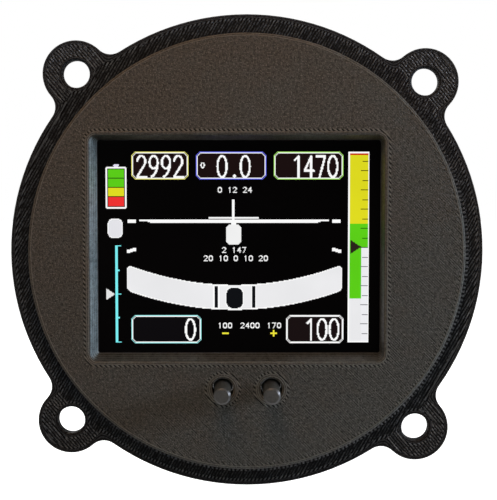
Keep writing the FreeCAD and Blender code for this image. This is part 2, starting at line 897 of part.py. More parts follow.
def power_inductor():
    """Square flanges either side of a round winding."""
    top_y = board_back_y + inductor_height
    lower = centred_block(inductor_x, inductor_z, inductor_side, inductor_side, board_back_y,
                          board_back_y + inductor_flange)
    upper = cylinder(inductor_side / 2, top_y - inductor_flange, top_y, inductor_x, inductor_z)
    winding = cylinder(inductor_waist_dia / 2, board_back_y, top_y, inductor_x, inductor_z)
    return lower.fuse([upper, winding]).removeSplitter()


def capacitors():
    """Two aluminium cans, each on a square base and rolled in near its foot."""
    base_y = board_back_y + capacitor_base
    groove_y = base_y + capacitor_foot
    can_y = groove_y + capacitor_groove_width
    cans = []
    for side in (-0.5, 0.5):
        x = capacitor_x + side * capacitor_pitch
        base = centred_block(x, capacitor_z, capacitor_dia, capacitor_dia, board_back_y, base_y)
        foot = cylinder(capacitor_dia / 2, base_y, groove_y, x, capacitor_z)
        waist = cylinder(capacitor_dia / 2 - capacitor_groove_depth, groove_y, can_y, x, capacitor_z)
        can = cylinder(capacitor_dia / 2, can_y, board_back_y + capacitor_height, x, capacitor_z)
        cans.append(base.fuse([foot, waist, can]).removeSplitter())
    return Part.makeCompound(cans)


def side_nodes():
    """Nodes that exist once for each air port and once for each button."""
    nodes = {}
    for name, x in port_places().items():
        nodes[name + "_sensor"] = pressure_sensor(x)
        nodes[name + "_hose"] = air_hose(x)
        nodes[name + "_fitting"] = bulkhead_fitting(x)
        nodes[name + "_nut"] = fitting_nut(x)
    for name, x in button_places().items():
        nodes[name + "_switch_base"] = switch_base(x)
        nodes[name + "_switch_cover"] = switch_cover(x)
        nodes[name + "_switch_dome"] = switch_dome(x)
        nodes[name + "_button_stem"] = button_stem(x)
    return nodes


def all_nodes():
    makers = [front_bezel, rear_case, case_screws, threaded_inserts, display_gasket, display_glass,
              display_backlight, foam_pad, display_ribbon, ribbon_socket, main_board, connector_shell,
              connector_insulator, connector_contacts, jack_posts, jack_nuts, supply_socket, supply_ribbon,
              battery_pack, battery_tape, battery_lead, battery_socket, processor_module, motion_sensor,
              voltage_regulator, power_inductor, capacitors]
    nodes = {maker.__name__: maker() for maker in makers}
    nodes.update(side_nodes())
    return nodes


os.makedirs("parts", exist_ok=True)
for node, shape in all_nodes().items():
    shape.exportStep(os.path.join("parts", node + ".step"))
    state = "valid" if shape.isValid() else "INVALID"
    print(node, len(shape.Solids), "solids", round(shape.Volume, 1), "mm3", state)
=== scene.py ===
import math
import bpy
import numpy as np
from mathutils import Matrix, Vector


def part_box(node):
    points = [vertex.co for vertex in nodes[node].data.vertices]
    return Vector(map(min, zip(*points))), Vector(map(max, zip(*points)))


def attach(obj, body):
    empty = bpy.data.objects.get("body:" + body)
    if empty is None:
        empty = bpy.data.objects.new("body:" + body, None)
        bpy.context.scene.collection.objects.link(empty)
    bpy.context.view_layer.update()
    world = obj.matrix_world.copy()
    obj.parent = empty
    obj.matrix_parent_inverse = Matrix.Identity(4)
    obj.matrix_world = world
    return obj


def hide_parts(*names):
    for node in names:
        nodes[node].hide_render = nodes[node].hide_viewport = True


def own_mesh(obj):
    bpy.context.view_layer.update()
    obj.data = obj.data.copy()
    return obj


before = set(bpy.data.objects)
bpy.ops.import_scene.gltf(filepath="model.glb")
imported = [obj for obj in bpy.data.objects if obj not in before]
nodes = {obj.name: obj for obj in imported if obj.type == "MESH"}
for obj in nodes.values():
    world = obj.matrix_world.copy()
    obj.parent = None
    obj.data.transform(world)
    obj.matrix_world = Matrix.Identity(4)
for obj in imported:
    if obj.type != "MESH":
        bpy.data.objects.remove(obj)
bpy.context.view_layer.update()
millimetre = 0.001
print("frame loaded,", len(nodes), "nodes")


# sRGB hex text to linear red, green, blue and alpha
def colour(hexText):
    parts = [int(hexText[start:start + 2], 16) / 255 for start in (1, 3, 5)]
    return [part / 12.92 if part <= 0.04045 else ((part + 0.055) / 1.055) ** 2.4 for part in parts] + [1.0]


# Fills a node's inputs with values, sockets or other nodes, whose first output in use is taken
def fillInputs(tree, node, inputs):
    for name, value in inputs.items():
        if isinstance(value, bpy.types.Node):
            value = next(output for output in value.outputs if output.enabled)
        if isinstance(value, bpy.types.NodeSocket):
            tree.links.new(value, node.inputs[name])
        else:
            node.inputs[name].default_value = value


# Adds one shader node, sets its properties and fills its inputs
def addNode(tree, kind, inputs, **properties):
    node = tree.nodes.new("ShaderNode" + kind)
    for name, value in properties.items():
        setattr(node, name, value)
    fillInputs(tree, node, inputs)
    return node


# A new material, its node tree and its Principled shader, some of whose inputs are filled already
def newMaterial(name, inputs):
    material = bpy.data.materials.new(name)
    material.use_nodes = True
    shader = material.node_tree.nodes["Principled BSDF"]
    fillInputs(material.node_tree, shader, inputs)
    return material, material.node_tree, shader


# Object coordinates in millimetres
def pointInMillimetres(tree):
    place = addNode(tree, "TexCoord", {}).outputs["Object"]
    return addNode(tree, "VectorMath", {0: place, "Scale": 1 / millimetre}, operation="SCALE")


# A camera or lamp at one place, turned to look at another, both in millimetres
def aimObject(name, data, place, target):
    aimed = bpy.data.objects.new(name, data)
    aimed.location = Vector(place) * millimetre
    aimed.rotation_mode = "QUATERNION"
    aimed.rotation_quaternion = (Vector(target) * millimetre - aimed.location).to_track_quat("-Z", "Y")
    bpy.context.scene.collection.objects.link(aimed)
    return aimed


# A new mesh object from points in metres, its faces and its material
def newPiece(name, points, faces, material):
    mesh = bpy.data.meshes.new(name)
    mesh.from_pydata(points, [], faces)
    mesh.materials.append(material)
    piece = bpy.data.objects.new(name, mesh)
    bpy.context.scene.collection.objects.link(piece)
    return piece


# Camera at the photograph's viewpoint: slightly above the centre line and just left of it
cameraView = {
    "place": (-0.616, -234.52, 15.40),  # mm
    "target": (0.268, 0.0, 0.394),  # mm
    "focalLength": 93.3,
    "sensorWidth": 36.0,
    "clip": (0.01, 20.0),  # metres, the nearest and the farthest that it sees
}


def makeCamera(values):
    lens = bpy.data.cameras.new("viewCamera")
    lens.lens = values["focalLength"]
    lens.sensor_width = values["sensorWidth"]
    lens.clip_start, lens.clip_end = values["clip"]
    bpy.context.scene.camera = aimObject("viewCamera", lens, values["place"], values["target"])


# Soft lamps that look at the part's middle: a warm one above, a cool one far to the right that grazes the
# face, a weak one in front and one behind for the other views. Places and sizes in mm
lamps = {
    "upperLamp": {"place": (-20, -100, 138), "size": 90, "watts": 0.285, "tint": "#ffcfa6"},
    "rightLamp": {"place": (290, -48, 50), "size": 80, "watts": 1.4, "tint": "#e2ecff"},
    "frontLamp": {"place": (-260, -520, 60), "size": 420, "watts": 0.6, "tint": "#fff2e4"},
    "rearLamp": {"place": (-260, 520, 380), "size": 420, "watts": 3.4, "tint": "#ffffff"},
}


def makeLamps(values):
    for name, lamp in values.items():
        light = bpy.data.lights.new(name, "AREA")
        light.energy = lamp["watts"]
        light.size = lamp["size"] * millimetre
        light.color = colour(lamp["tint"])[:3]
        aimObject(name, light, lamp["place"], (0, 0, 0)).visible_camera = False


# Room: even light from all round, and a white floor below the part, which a panel holds up
room = {
    "light": 0.22,
    "floorLevel": -120.0,  # mm
    "floorWidth": 6000.0,  # mm
    "floorColour": "#e6e6e6",
    "floorRoughness": 0.9,
    # Strength of the floor's glow near the part and beyond, by the distance in metres
    "floorGlow": {"From Min": 0.25, "From Max": 0.8, "To Min": 0.5, "To Max": 1.0},
}


# 1 for camera, glossy and transmission rays, which all see the white background
def backgroundRays(tree):
    path = addNode(tree, "LightPath", {})
    shiny = addNode(tree, "Math", {0: path.outputs["Is Glossy Ray"], 1: path.outputs["Is Transmission Ray"]},
                    operation="ADD")
    return addNode(tree, "Math", {0: shiny, 1: path.outputs["Is Camera Ray"]}, operation="ADD",
                   use_clamp=True)


def makeWorld(values):
    world = bpy.data.worlds.new("studioWorld")
    bpy.context.scene.world = world
    world.use_nodes = True
    tree = world.node_tree
    strength = addNode(tree, "MapRange", {"Value": backgroundRays(tree), "To Min": values["light"],
                                          "To Max": 1.0})
    fillInputs(tree, tree.nodes["Background"], {"Color": (1, 1, 1, 1), "Strength": strength})


# Matt white painted floor. Its glow is seen by the background rays only, so it lights nothing
def makeFloor(values):
    material, tree, shader = newMaterial("floorPaint", {
        "Base Color": colour(values["floorColour"]), "Roughness": values["floorRoughness"],
        "Specular IOR Level": 0.0, "Emission Color": (1, 1, 1, 1)})
    place = addNode(tree, "TexCoord", {}).outputs["Object"]
    distance = addNode(tree, "VectorMath", {0: place}, operation="LENGTH")
    lift = addNode(tree, "MapRange", {"Value": distance, **values["floorGlow"]})
    glow = addNode(tree, "Math", {0: backgroundRays(tree), 1: lift}, operation="MULTIPLY")
    fillInputs(tree, shader, {"Emission Strength": glow})
    half = values["floorWidth"] * millimetre / 2
    level = values["floorLevel"] * millimetre
    corners = [(-half, -half, level), (half, -half, level), (half, half, level), (-half, half, level)]
    floor = newPiece("studioFloor", corners, [(0, 1, 2, 3)], material)


makeCamera(cameraView)
makeLamps(lamps)
makeWorld(room)
makeFloor(room)
bpy.context.scene.view_settings.view_transform = "Standard"
print("camera, lamps and floor made")


# Printed front. PLA filament, laid down by a nozzle: each strand is a low rounded ridge. The round face, here
# called the disc, was printed against the bed, so it is matt and grainy; the flange round it is made of
# glossy open strands. Strands follow each edge first, and the straight ones inside turn back in a row of
# beads. A noise has its scale in marks per millimetre. A range reads its value from From Min to From Max, and
# turns it into one from To Min to To Max
stemBoxes = [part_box(side + "_button_stem") for side in ("left", "right")]
leftStem, rightStem = [(low + high) / 2 / millimetre for low, high in stemBoxes]
printed = {
    "edgeStrand": 0.34,  # width of one strand; lengths are in mm and angles in degrees
    "edgeCount": 2,
    "beadRow": 0.42,  # width of the row of beads where straight strands turn back
    "beadPitch": 0.6,
    "beadRange": {"To Min": -1.6, "To Max": 0.8},
    "toothPitch": 0.75,  # along the foot of the disc, where the flange's strands turn back
    "toothLength": 1.0,
    "faceRadius": 38.95,
    "faceDepth": -1.5,  # the disc's flat faces lie before this depth, and the flange's behind it
    "wallSteepness": 0.5,  # faces whose normal has less than this along Y are walls
    "discRadius": 39.25,
    "flangeRadius": 42.75,
    "boltRadius": 44.45,
    "earRadius": 6.0,
    "earBlend": 3.0,
    "earHoleRadius": 2.41,
    "earTurn": -1.24,
    "windowMiddle": (-1.83, 0.0, 0.805),
    "windowHalf": (26.47, 0.0, 20.305),
    "windowCorner": 1.4,
    "windowEdge": 0.15,
    "boreRadius": 2.2,
    "boreMiddle": (leftStem + rightStem) / 2,
    "boreSpacing": (abs(rightStem.x - leftStem.x) / 2, 0.0, 0.0),
    # Painted light: along this slant the colour turns from a warm lit look at the upper left to a cool one at
    # the lower right
    "slant": (0.7, 0, -0.7),  # the way from the upper left, where the face is warm, to the lower right
    "stains": {"Scale": 0.2, "Detail": 2.0},
    "paintedLightDrift": 0.012,
    "paintedLightDriftRange": {"From Min": 0.15, "From Max": 0.85},
    "bumpStrength": 0.8,
    "disc": {
        "strand": 0.36,  # the real 0.3 is too fine to show
        "angle": -45,  # the way the straight strands run
        # These two colours are painted light, warm at the upper left and cool at the lower right, not two
        # colours of filament
        "colours": ("#35322d", "#353633"),  # warm at the upper left, cool at the lower right
        "openness": {"From Min": -10.0, "From Max": 32.0, "To Min": 0.15, "To Max": 1.5},
        "stretch": (3.0, 1.0, 0.6),
        "streaks": {"Scale": 1.1, "Detail": 3.0, "Roughness": 0.7},
        "uneven": {"From Min": 0.45, "From Max": 0.66, "To Max": 2.4},
        "edgeHeight": 2.6,
        "level": {"To Min": 0.67, "To Max": 0.45},
        "grain": {"Scale": 2.0, "Detail": 5.0, "Roughness": 0.9},
        "grainHeight": {"To Min": -3.8, "To Max": 3.8},
        "specks": {"Scale": 4.0, "Detail": 0.0},
        "speckHeight": {"From Min": 0.66, "From Max": 0.8, "To Max": 1.6},
        "beadHeight": 2.4,
        "rimBeads": 0.7,
        "rimDropAndShade": -0.6,
        "tone": {"From Min": -1.3, "From Max": 1.7, "To Min": 0.1, "To Max": 2.2},
        "relief": 0.5,
        "roughness": 0.62,
        "shine": 0.05,
    },
    "flange": {
        "strand": 0.48,
        "angle": 60,
        "earAngle": -50,
        "colour": "#0b0b0c",
        # Painted sheen: strand tops are lightened towards these colours where they would glint, bluer at the
        # upper left
        "lights": ("#444b52", "#4c4d4c"),
        "sharpness": 2.0,
        "stretch": (2.0, 1.0, 0.5),
        "streaks": {"Scale": 0.9, "Detail": 3.0, "Roughness": 0.7},
        "gloss": {"From Min": 0.44, "From Max": 0.68, "To Min": 0.1, "To Max": 0.66},
        "earGloss": {"From Min": 0.4, "From Max": 0.62, "To Min": 0.25, "To Max": 0.85},
        "edgeGloss": 0.3,
        "flecks": {"Scale": 2.4, "Detail": 2.0, "Roughness": 0.8},
        "flecked": {"From Min": 0.38, "From Max": 0.66, "To Min": 0.25, "To Max": 1.7},
        "fadeTowardsBottom": {"From Min": -41.0, "From Max": -24.0, "To Min": 0.6, "To Max": 1.0},
        "beadGloss": 0.5,
        "toothSharpness": 2.5,
        "toothed": {"From Min": -5.0, "From Max": 30.0, "To Max": 0.75},
        "depth": 0.12,  # how far its relief and the disc's stand out
        "roughness": 0.34,
        "shine": {"To Min": 0.0, "To Max": 0.12},
    },
    "wall": {
        "layer": 1.2,  # real layers of 0.2 are too fine to show on walls that are seen at a slant
        "colour": "#24221c",
        # Painted light: window walls that face right get this lighter, bluer colour, as if lit by the lamp on
        # the right
        "paintedLitColour": "#525c5e",
        # Painted shade: walls outside the window, such as the holes' walls, are made near black
        "outerShadeColour": "#0c0c0c",
        "lit": {"From Min": 0.4, "From Max": 0.9},
        "stretch": (1.5, 0.3, 1.5),
        "uneven": {"Scale": 1.0, "Detail": 3.0, "Roughness": 0.8},
        "unevenHeight": 3.6,
        "tone": {"From Min": 1.3, "From Max": 3.7, "To Min": 0.1, "To Max": 2.0},
        "relief": 0.5,
        "depth": 0.35,
        "roughness": (0.6, 0.42),  # outside, and in the window
        "shine": (0.04, 0.5),
    },
}


# Rounded ridges: 4 f (1 - f), where f is how far the point is across its strand, from 0 to 1
def ridges(tree, across, pitch):
    turns = addNode(tree, "Math", {0: across, 1: pitch}, operation="DIVIDE")
    part = addNode(tree, "Math", {0: turns}, operation="FRACT")
    rest = addNode(tree, "Math", {0: 1.0, 1: part}, operation="SUBTRACT")
    product = addNode(tree, "Math", {0: part, 1: rest}, operation="MULTIPLY")
    return addNode(tree, "Math", {0: product, 1: 4.0}, operation="MULTIPLY")


# Distance across strands that run at an angle in the XZ plane: x sin(a) - z cos(a)
def acrossStrands(tree, point, angle):
    turn = math.radians(angle)
    return addNode(tree, "VectorMath", {0: point, 1: (math.sin(turn), 0, -math.cos(turn))},
                   operation="DOT_PRODUCT")


# Noise drawn out along the strands
def lengthwiseNoise(tree, point, look):
    drawnOut = addNode(tree, "Mapping", {"Vector": point, "Rotation": (0, math.radians(-look["angle"]), 0),
                                         "Scale": look["stretch"]}, vector_type="TEXTURE")
    return addNode(tree, "TexNoise", {"Vector": drawnOut, **look["streaks"]})


# Distance from a point to the middle of the part in the XZ plane
def flatLength(tree, point):
    flat = addNode(tree, "VectorMath", {0: point, 1: (1, 0, 1)}, operation="MULTIPLY")
    return addNode(tree, "VectorMath", {0: flat}, operation="LENGTH")


# Distance outside the window's rounded rectangle: |max(|p - middle| - half + corner, 0)| - corner
def windowDistance(tree, point, values):
    offset = addNode(tree, "VectorMath", {0: point, 1: values["windowMiddle"]}, operation="SUBTRACT")
    size = addNode(tree, "VectorMath", {0: offset}, operation="ABSOLUTE")
    corner = values["windowCorner"]
    inner = Vector(values["windowHalf"]) - Vector((corner, 0.0, corner))
    beyond = addNode(tree, "VectorMath", {0: size, 1: inner}, operation="SUBTRACT")
    outside = addNode(tree, "VectorMath", {0: beyond, 1: (0, 0, 0)}, operation="MAXIMUM")
    return addNode(tree, "Math", {0: flatLength(tree, outside), 1: corner}, operation="SUBTRACT")


# Distance outside the nearest button bore. The two bores are folded into one
def boreDistance(tree, point, values):
    offset = addNode(tree, "VectorMath", {0: point, 1: values["boreMiddle"]}, operation="SUBTRACT")
    folded = addNode(tree, "VectorMath", {0: offset}, operation="ABSOLUTE")
    fromBore = addNode(tree, "VectorMath", {0: folded, 1: values["boreSpacing"]}, operation="SUBTRACT")
    return addNode(tree, "Math", {0: flatLength(tree, fromBore), 1: values["boreRadius"]},
                   operation="SUBTRACT")


# Distance from the flange's nearest edge, its outline or an ear's hole. The four ears are folded into one
def flangeDistance(tree, point, radius, values):
    turn = math.radians(values["earTurn"])
    turned = addNode(tree, "VectorRotate", {"Vector": point, "Axis": (0, 1, 0), "Angle": turn},
                     rotation_type="AXIS_ANGLE")
    folded = addNode(tree, "VectorMath", {0: turned}, operation="ABSOLUTE")
    diagonal = values["boltRadius"] / math.sqrt(2)
    offset = addNode(tree, "VectorMath", {0: folded, 1: (diagonal, 0, diagonal)}, operation="SUBTRACT")
    fromHole = flatLength(tree, offset)
    insideEar = addNode(tree, "Math", {0: values["earRadius"], 1: fromHole}, operation="SUBTRACT")
    insideRound = addNode(tree, "Math", {0: values["flangeRadius"], 1: radius}, operation="SUBTRACT")
    inside = addNode(tree, "Math", {0: insideEar, 1: insideRound, 2: values["earBlend"]},
                     operation="SMOOTH_MAX")
    aroundHole = addNode(tree, "Math", {0: fromHole, 1: values["earHoleRadius"]}, operation="SUBTRACT")
    return addNode(tree, "Math", {0: inside, 1: aroundHole}, operation="MINIMUM")


# Strand pattern of a flat printed face, from 0 in the grooves to 1 on the strands: strands along the edge,
# then straight ones. Also 1 where the strands follow the edge, and the row of beads at the turns, below 0 in
# the holes between them and above it on the beads
def faceStrands(tree, edgeDistance, across, strand, values):
    edgeWidth = values["edgeStrand"] * values["edgeCount"]
    band = addNode(tree, "Math", {0: edgeDistance, 1: edgeWidth}, operation="LESS_THAN")
    rowWidth = edgeWidth + values["beadRow"]
    atTurns = addNode(tree, "Math", {0: edgeDistance, 1: rowWidth}, operation="LESS_THAN")
    row = addNode(tree, "Math", {0: atTurns, 1: band}, operation="SUBTRACT")
    wave = ridges(tree, across, values["beadPitch"])
    turns = addNode(tree, "MapRange", {"Value": wave, **values["beadRange"]})
    beads = addNode(tree, "Math", {0: row, 1: turns}, operation="MULTIPLY")
    pattern = addNode(tree, "Mix", {0: band, 2: ridges(tree, across, strand),
                                    3: ridges(tree, edgeDistance, values["edgeStrand"])})
    return pattern, band, beads


# Disc, about 0: grain and specks from the bed everywhere, with the strands showing through towards the lower
# right, and a lower rounded edge whose colour is also darkened as painted shade
def discRelief(tree, point, radius, slant, fromWindow, values):
    look = values["disc"]
    rim = addNode(tree, "Math", {0: values["discRadius"], 1: radius}, operation="SUBTRACT")
    fromBore = boreDistance(tree, point, values)
    opening = addNode(tree, "Math", {0: fromWindow, 1: fromBore}, operation="MINIMUM")
    edge = addNode(tree, "Math", {0: opening, 1: rim}, operation="MINIMUM")
    across = acrossStrands(tree, point, look["angle"])
    strands, band, beads = faceStrands(tree, edge, across, look["strand"], values)
    openness = addNode(tree, "MapRange", {"Value": slant, **look["openness"]})
    uneven = addNode(tree, "MapRange", {"Value": lengthwiseNoise(tree, point, look), **look["uneven"]})
    shown = addNode(tree, "Math", {0: openness, 1: uneven}, operation="MULTIPLY")
    kept = addNode(tree, "Mix", {0: band, 2: shown, 3: look["edgeHeight"]})
    level = addNode(tree, "MapRange", {"Value": band, **look["level"]})
    signed = addNode(tree, "Math", {0: strands, 1: level}, operation="SUBTRACT")
    grain = addNode(tree, "TexNoise", {"Vector": point, **look["grain"]})
    grainHeight = addNode(tree, "MapRange", {"Value": grain, **look["grainHeight"]})
    specks = addNode(tree, "TexNoise", {"Vector": point, **look["specks"]})
    speckHeight = addNode(tree, "MapRange", {"Value": specks, **look["speckHeight"]})
    grained = addNode(tree, "Math", {0: signed, 1: kept, 2: grainHeight}, operation="MULTIPLY_ADD")
    speckled = addNode(tree, "Math", {0: grained, 1: speckHeight}, operation="ADD")
    atRim = addNode(tree, "Math", {0: rim, 1: opening}, operation="LESS_THAN")
    rimHeight = addNode(tree, "Math", {0: openness, 1: look["rimBeads"]}, operation="MULTIPLY")
    beadHeight = addNode(tree, "Mix", {0: atRim, 2: look["beadHeight"], 3: rimHeight})
    beaded = addNode(tree, "Math", {0: beads, 1: beadHeight, 2: speckled}, operation="MULTIPLY_ADD")
    # Past the face radius the rounded rim is lowered in the bump and darkened in colour: painted shade
    rounded = addNode(tree, "Math", {0: radius, 1: values["faceRadius"]}, operation="GREATER_THAN")
    return addNode(tree, "Math", {0: rounded, 1: look["rimDropAndShade"], 2: beaded}, operation="MULTIPLY_ADD")


# Flange and ears: open strands whose gloss comes and goes along their length, and teeth round the disc's foot
# towards the lower right. A high value lightens the base colour as painted sheen and raises the shine
def flangeRelief(tree, point, radius, slant, values):
    look = values["flange"]
    edge = flangeDistance(tree, point, radius, values)
    isEar = addNode(tree, "Math", {0: radius, 1: values["flangeRadius"]}, operation="GREATER_THAN")
    across = addNode(tree, "Mix", {0: isEar, 2: acrossStrands(tree, point, look["angle"]),
                                   3: acrossStrands(tree, point, look["earAngle"])})
    strands, band, beads = faceStrands(tree, edge, across, look["strand"], values)
    thin = addNode(tree, "Math", {0: strands, 1: look["sharpness"]}, operation="POWER")
    uneven = lengthwiseNoise(tree, point, look)
    gloss = addNode(tree, "MapRange", {"Value": uneven, **look["gloss"]})
    earGloss = addNode(tree, "MapRange", {"Value": uneven, **look["earGloss"]})
    innerGloss = addNode(tree, "Mix", {0: isEar, 2: gloss, 3: earGloss})
    kept = addNode(tree, "Mix", {0: band, 2: innerGloss, 3: look["edgeGloss"]})
    flecks = addNode(tree, "TexNoise", {"Vector": point, **look["flecks"]})
    flecked = addNode(tree, "MapRange", {"Value": flecks, **look["flecked"]})
    axes = addNode(tree, "SeparateXYZ", {0: point})
    # The strands' painted sheen is weaker towards the bottom
    fadeTowardsBottom = addNode(tree, "MapRange", {"Value": axes.outputs["Z"], **look["fadeTowardsBottom"]})
    spotted = addNode(tree, "Math", {0: kept, 1: flecked}, operation="MULTIPLY")
    dulled = addNode(tree, "Math", {0: spotted, 1: fadeTowardsBottom}, operation="MULTIPLY")
    lines = addNode(tree, "Math", {0: thin, 1: dulled}, operation="MULTIPLY")
    beaded = addNode(tree, "Math", {0: beads, 1: look["beadGloss"], 2: lines}, operation="MULTIPLY_ADD",
                     use_clamp=True)
    turn = addNode(tree, "Math", {0: axes.outputs["Z"], 1: axes.outputs["X"]}, operation="ARCTAN2")
    along = addNode(tree, "Math", {0: turn, 1: values["discRadius"]}, operation="MULTIPLY")
    tooth = addNode(tree, "Math", {0: ridges(tree, along, values["toothPitch"]), 1: look["toothSharpness"]},
                    operation="POWER")
    teeth = addNode(tree, "Math", {0: tooth, 1: flecked}, operation="MULTIPLY")
    atFoot = addNode(tree, "Math", {0: radius, 1: values["discRadius"] + values["toothLength"]},
                     operation="LESS_THAN")
    openness = addNode(tree, "MapRange", {"Value": slant, **look["toothed"]})
    toothed = addNode(tree, "Math", {0: atFoot, 1: openness}, operation="MULTIPLY")
    return addNode(tree, "Mix", {0: toothed, 2: beaded, 3: teeth})


# Upright walls: level layers and broad blotches
def wallRelief(tree, point, depth, look):
    layers = ridges(tree, depth, look["layer"])
    stretched = addNode(tree, "VectorMath", {0: point, 1: look["stretch"]}, operation="MULTIPLY")
    uneven = addNode(tree, "TexNoise", {"Vector": stretched, **look["uneven"]})
    return addNode(tree, "Math", {0: uneven, 1: look["unevenHeight"], 2: layers}, operation="MULTIPLY_ADD")


# The flange's value, the disc's or the walls', by the masks of the last two
def chooseFace(tree, masks, flange, disc, wall, kind="FLOAT"):
    isDisc, isWall = masks
    first, second = (6, 7) if kind == "RGBA" else (2, 3)
    flat = addNode(tree, "Mix", {0: isDisc, first: flange, second: disc}, data_type=kind)
    return addNode(tree, "Mix", {0: isWall, first: flat, second: wall}, data_type=kind)


def makePrintedFront(values):
    material, tree, shader = newMaterial("printedFilamentFront", {})
    discLook, flangeLook, wallLook = values["disc"], values["flange"], values["wall"]
    point = pointInMillimetres(tree)
    depth = addNode(tree, "SeparateXYZ", {0: point}).outputs["Y"]
    radius = flatLength(tree, point)
    slant = addNode(tree, "VectorMath", {0: point, 1: values["slant"]}, operation="DOT_PRODUCT")
    normal = addNode(tree, "SeparateXYZ", {0: addNode(tree, "TexCoord", {}).outputs["Normal"]})
    steep = addNode(tree, "Math", {0: normal.outputs["Y"]}, operation="ABSOLUTE")
    isWall = addNode(tree, "Math", {0: steep, 1: values["wallSteepness"]}, operation="LESS_THAN")
    isDisc = addNode(tree, "Math", {0: depth, 1: values["faceDepth"]}, operation="LESS_THAN")
    masks = (isDisc, isWall)
    fromWindow = windowDistance(tree, point, values)
    inWindow = addNode(tree, "Math", {0: fromWindow, 1: values["windowEdge"]}, operation="LESS_THAN")
    disc = discRelief(tree, point, radius, slant, fromWindow, values)
    flange = flangeRelief(tree, point, radius, slant, values)
    wall = wallRelief(tree, point, depth, wallLook)

    # Painted light: random stains plus a drift along the slant turn the disc from warm at the upper left to
    # cool at the lower right, and tint the flange's painted sheen the same way
    stains = addNode(tree, "TexNoise", {"Vector": point, **values["stains"]})
    paintedLightDrift = addNode(tree, "Math", {0: slant, 1: values["paintedLightDrift"], 2: stains}, operation="MULTIPLY_ADD")
    stainsAndPaintedLight = addNode(tree, "MapRange", {"Value": paintedLightDrift, **values["paintedLightDriftRange"]})
    warm, cool = map(colour, discLook["colours"])
    discColour = addNode(tree, "Mix", {0: stainsAndPaintedLight, 6: warm, 7: cool}, data_type="RGBA")
    discTone = addNode(tree, "MapRange", {"Value": disc, **discLook["tone"]})
    discTint = addNode(tree, "VectorMath", {0: discColour, "Scale": discTone}, operation="SCALE")
    # Painted sheen: the flange's value mixes its dark colour towards these lighter sheen colours
    leftSheen, rightSheen = map(colour, flangeLook["lights"])
    flangeSheen = addNode(tree, "Mix", {0: stainsAndPaintedLight, 6: leftSheen, 7: rightSheen}, data_type="RGBA")
    flangeTint = addNode(tree, "Mix", {0: flange, 6: colour(flangeLook["colour"]), 7: flangeSheen},
                         data_type="RGBA")
    # Painted light: by its normal, a window wall facing right is mixed towards the painted lit colour
    facesRight = addNode(tree, "MapRange", {"Value": normal.outputs["X"], **wallLook["lit"]})
    windowColourWithPaintedLight = addNode(tree, "Mix", {0: facesRight, 6: colour(wallLook["colour"]),
                                         7: colour(wallLook["paintedLitColour"])}, data_type="RGBA")
    # Walls outside the window take the painted shade colour
    wallColour = addNode(tree, "Mix", {0: inWindow, 6: colour(wallLook["outerShadeColour"]), 7: windowColourWithPaintedLight},
                         data_type="RGBA")
    wallTone = addNode(tree, "MapRange", {"Value": wall, **wallLook["tone"]})
    wallTint = addNode(tree, "VectorMath", {0: wallColour, "Scale": wallTone}, operation="SCALE")

    discHeight = addNode(tree, "Math", {0: disc, 1: discLook["relief"]}, operation="MULTIPLY")
    wallHeight = addNode(tree, "Math", {0: wall, 1: wallLook["relief"]}, operation="MULTIPLY")
    height = chooseFace(tree, masks, flange, discHeight, wallHeight)
    reach = addNode(tree, "Mix", {0: isWall, 2: flangeLook["depth"] * millimetre,
                                  3: wallLook["depth"] * millimetre})
    bump = addNode(tree, "Bump", {"Strength": values["bumpStrength"], "Distance": reach, "Height": height})

    outside, inside = wallLook["roughness"]
    wallRoughness = addNode(tree, "Mix", {0: inWindow, 2: outside, 3: inside})
    outside, inside = wallLook["shine"]
    wallGloss = addNode(tree, "Mix", {0: inWindow, 2: outside, 3: inside})
    wallShine = addNode(tree, "Math", {0: wallGloss, 1: wallTone}, operation="MULTIPLY")
    flangeShine = addNode(tree, "MapRange", {"Value": flange, **flangeLook["shine"]})
    fillInputs(tree, shader, {
        "Base Color": chooseFace(tree, masks, flangeTint, discTint, wallTint, "RGBA"),
        "Roughness": chooseFace(tree, masks, flangeLook["roughness"], discLook["roughness"], wallRoughness),
        "Specular IOR Level": chooseFace(tree, masks, flangeShine, discLook["shine"], wallShine),
        "Normal": bump})
    return material


# Rear case: the same filament. Its wall shows the layers and its back shows straight strands inside two rings
case = {
    "edgeRadius": 38.0,
    "backDepth": 39.0,
    "strand": 0.48,
    "angle": 45,
    "layer": 0.40,  # mm; real layers are 0.2, too fine to show
    "colours": ("#121212", "#2a2928"),
    "stretch": (0.1, 2.5, 0.1),
    "uneven": {"Scale": 1.0, "Detail": 3.0},
    "unevenHeight": 0.8,
    "bumpStrength": 0.7,
    "depth": 0.08,  # mm
    "shine": 0.25,
    "roughness": {"To Min": 0.34, "To Max": 0.5},
}


def makePrintedCase(values, edges):
    material, tree, shader = newMaterial("printedFilamentCase", {"Specular IOR Level": values["shine"]})
    point = pointInMillimetres(tree)
    depth = addNode(tree, "SeparateXYZ", {0: point}).outputs["Y"]
    edge = addNode(tree, "Math", {0: values["edgeRadius"], 1: flatLength(tree, point)}, operation="SUBTRACT")
    across = acrossStrands(tree, point, values["angle"])
    backStrands = faceStrands(tree, edge, across, values["strand"], edges)[0]
    isBack = addNode(tree, "Math", {0: depth, 1: values["backDepth"]}, operation="GREATER_THAN")
    strands = addNode(tree, "Mix", {0: isBack, 2: ridges(tree, depth, values["layer"]), 3: backStrands})
    stretched = addNode(tree, "VectorMath", {0: point, 1: values["stretch"]}, operation="MULTIPLY")
    tone = addNode(tree, "TexNoise", {"Vector": stretched, **values["uneven"]})
    height = addNode(tree, "Math", {0: tone, 1: values["unevenHeight"], 2: strands}, operation="MULTIPLY_ADD")
    low, high = map(colour, values["colours"])
    fillInputs(tree, shader, {
        "Base Color": addNode(tree, "Mix", {0: tone, 6: low, 7: high}, data_type="RGBA"),
        "Roughness": addNode(tree, "MapRange", {"Value": tone, **values["roughness"]}),
        "Normal": addNode(tree, "Bump", {"Strength": values["bumpStrength"],
                                         "Distance": values["depth"] * millimetre, "Height": height})})
    return material


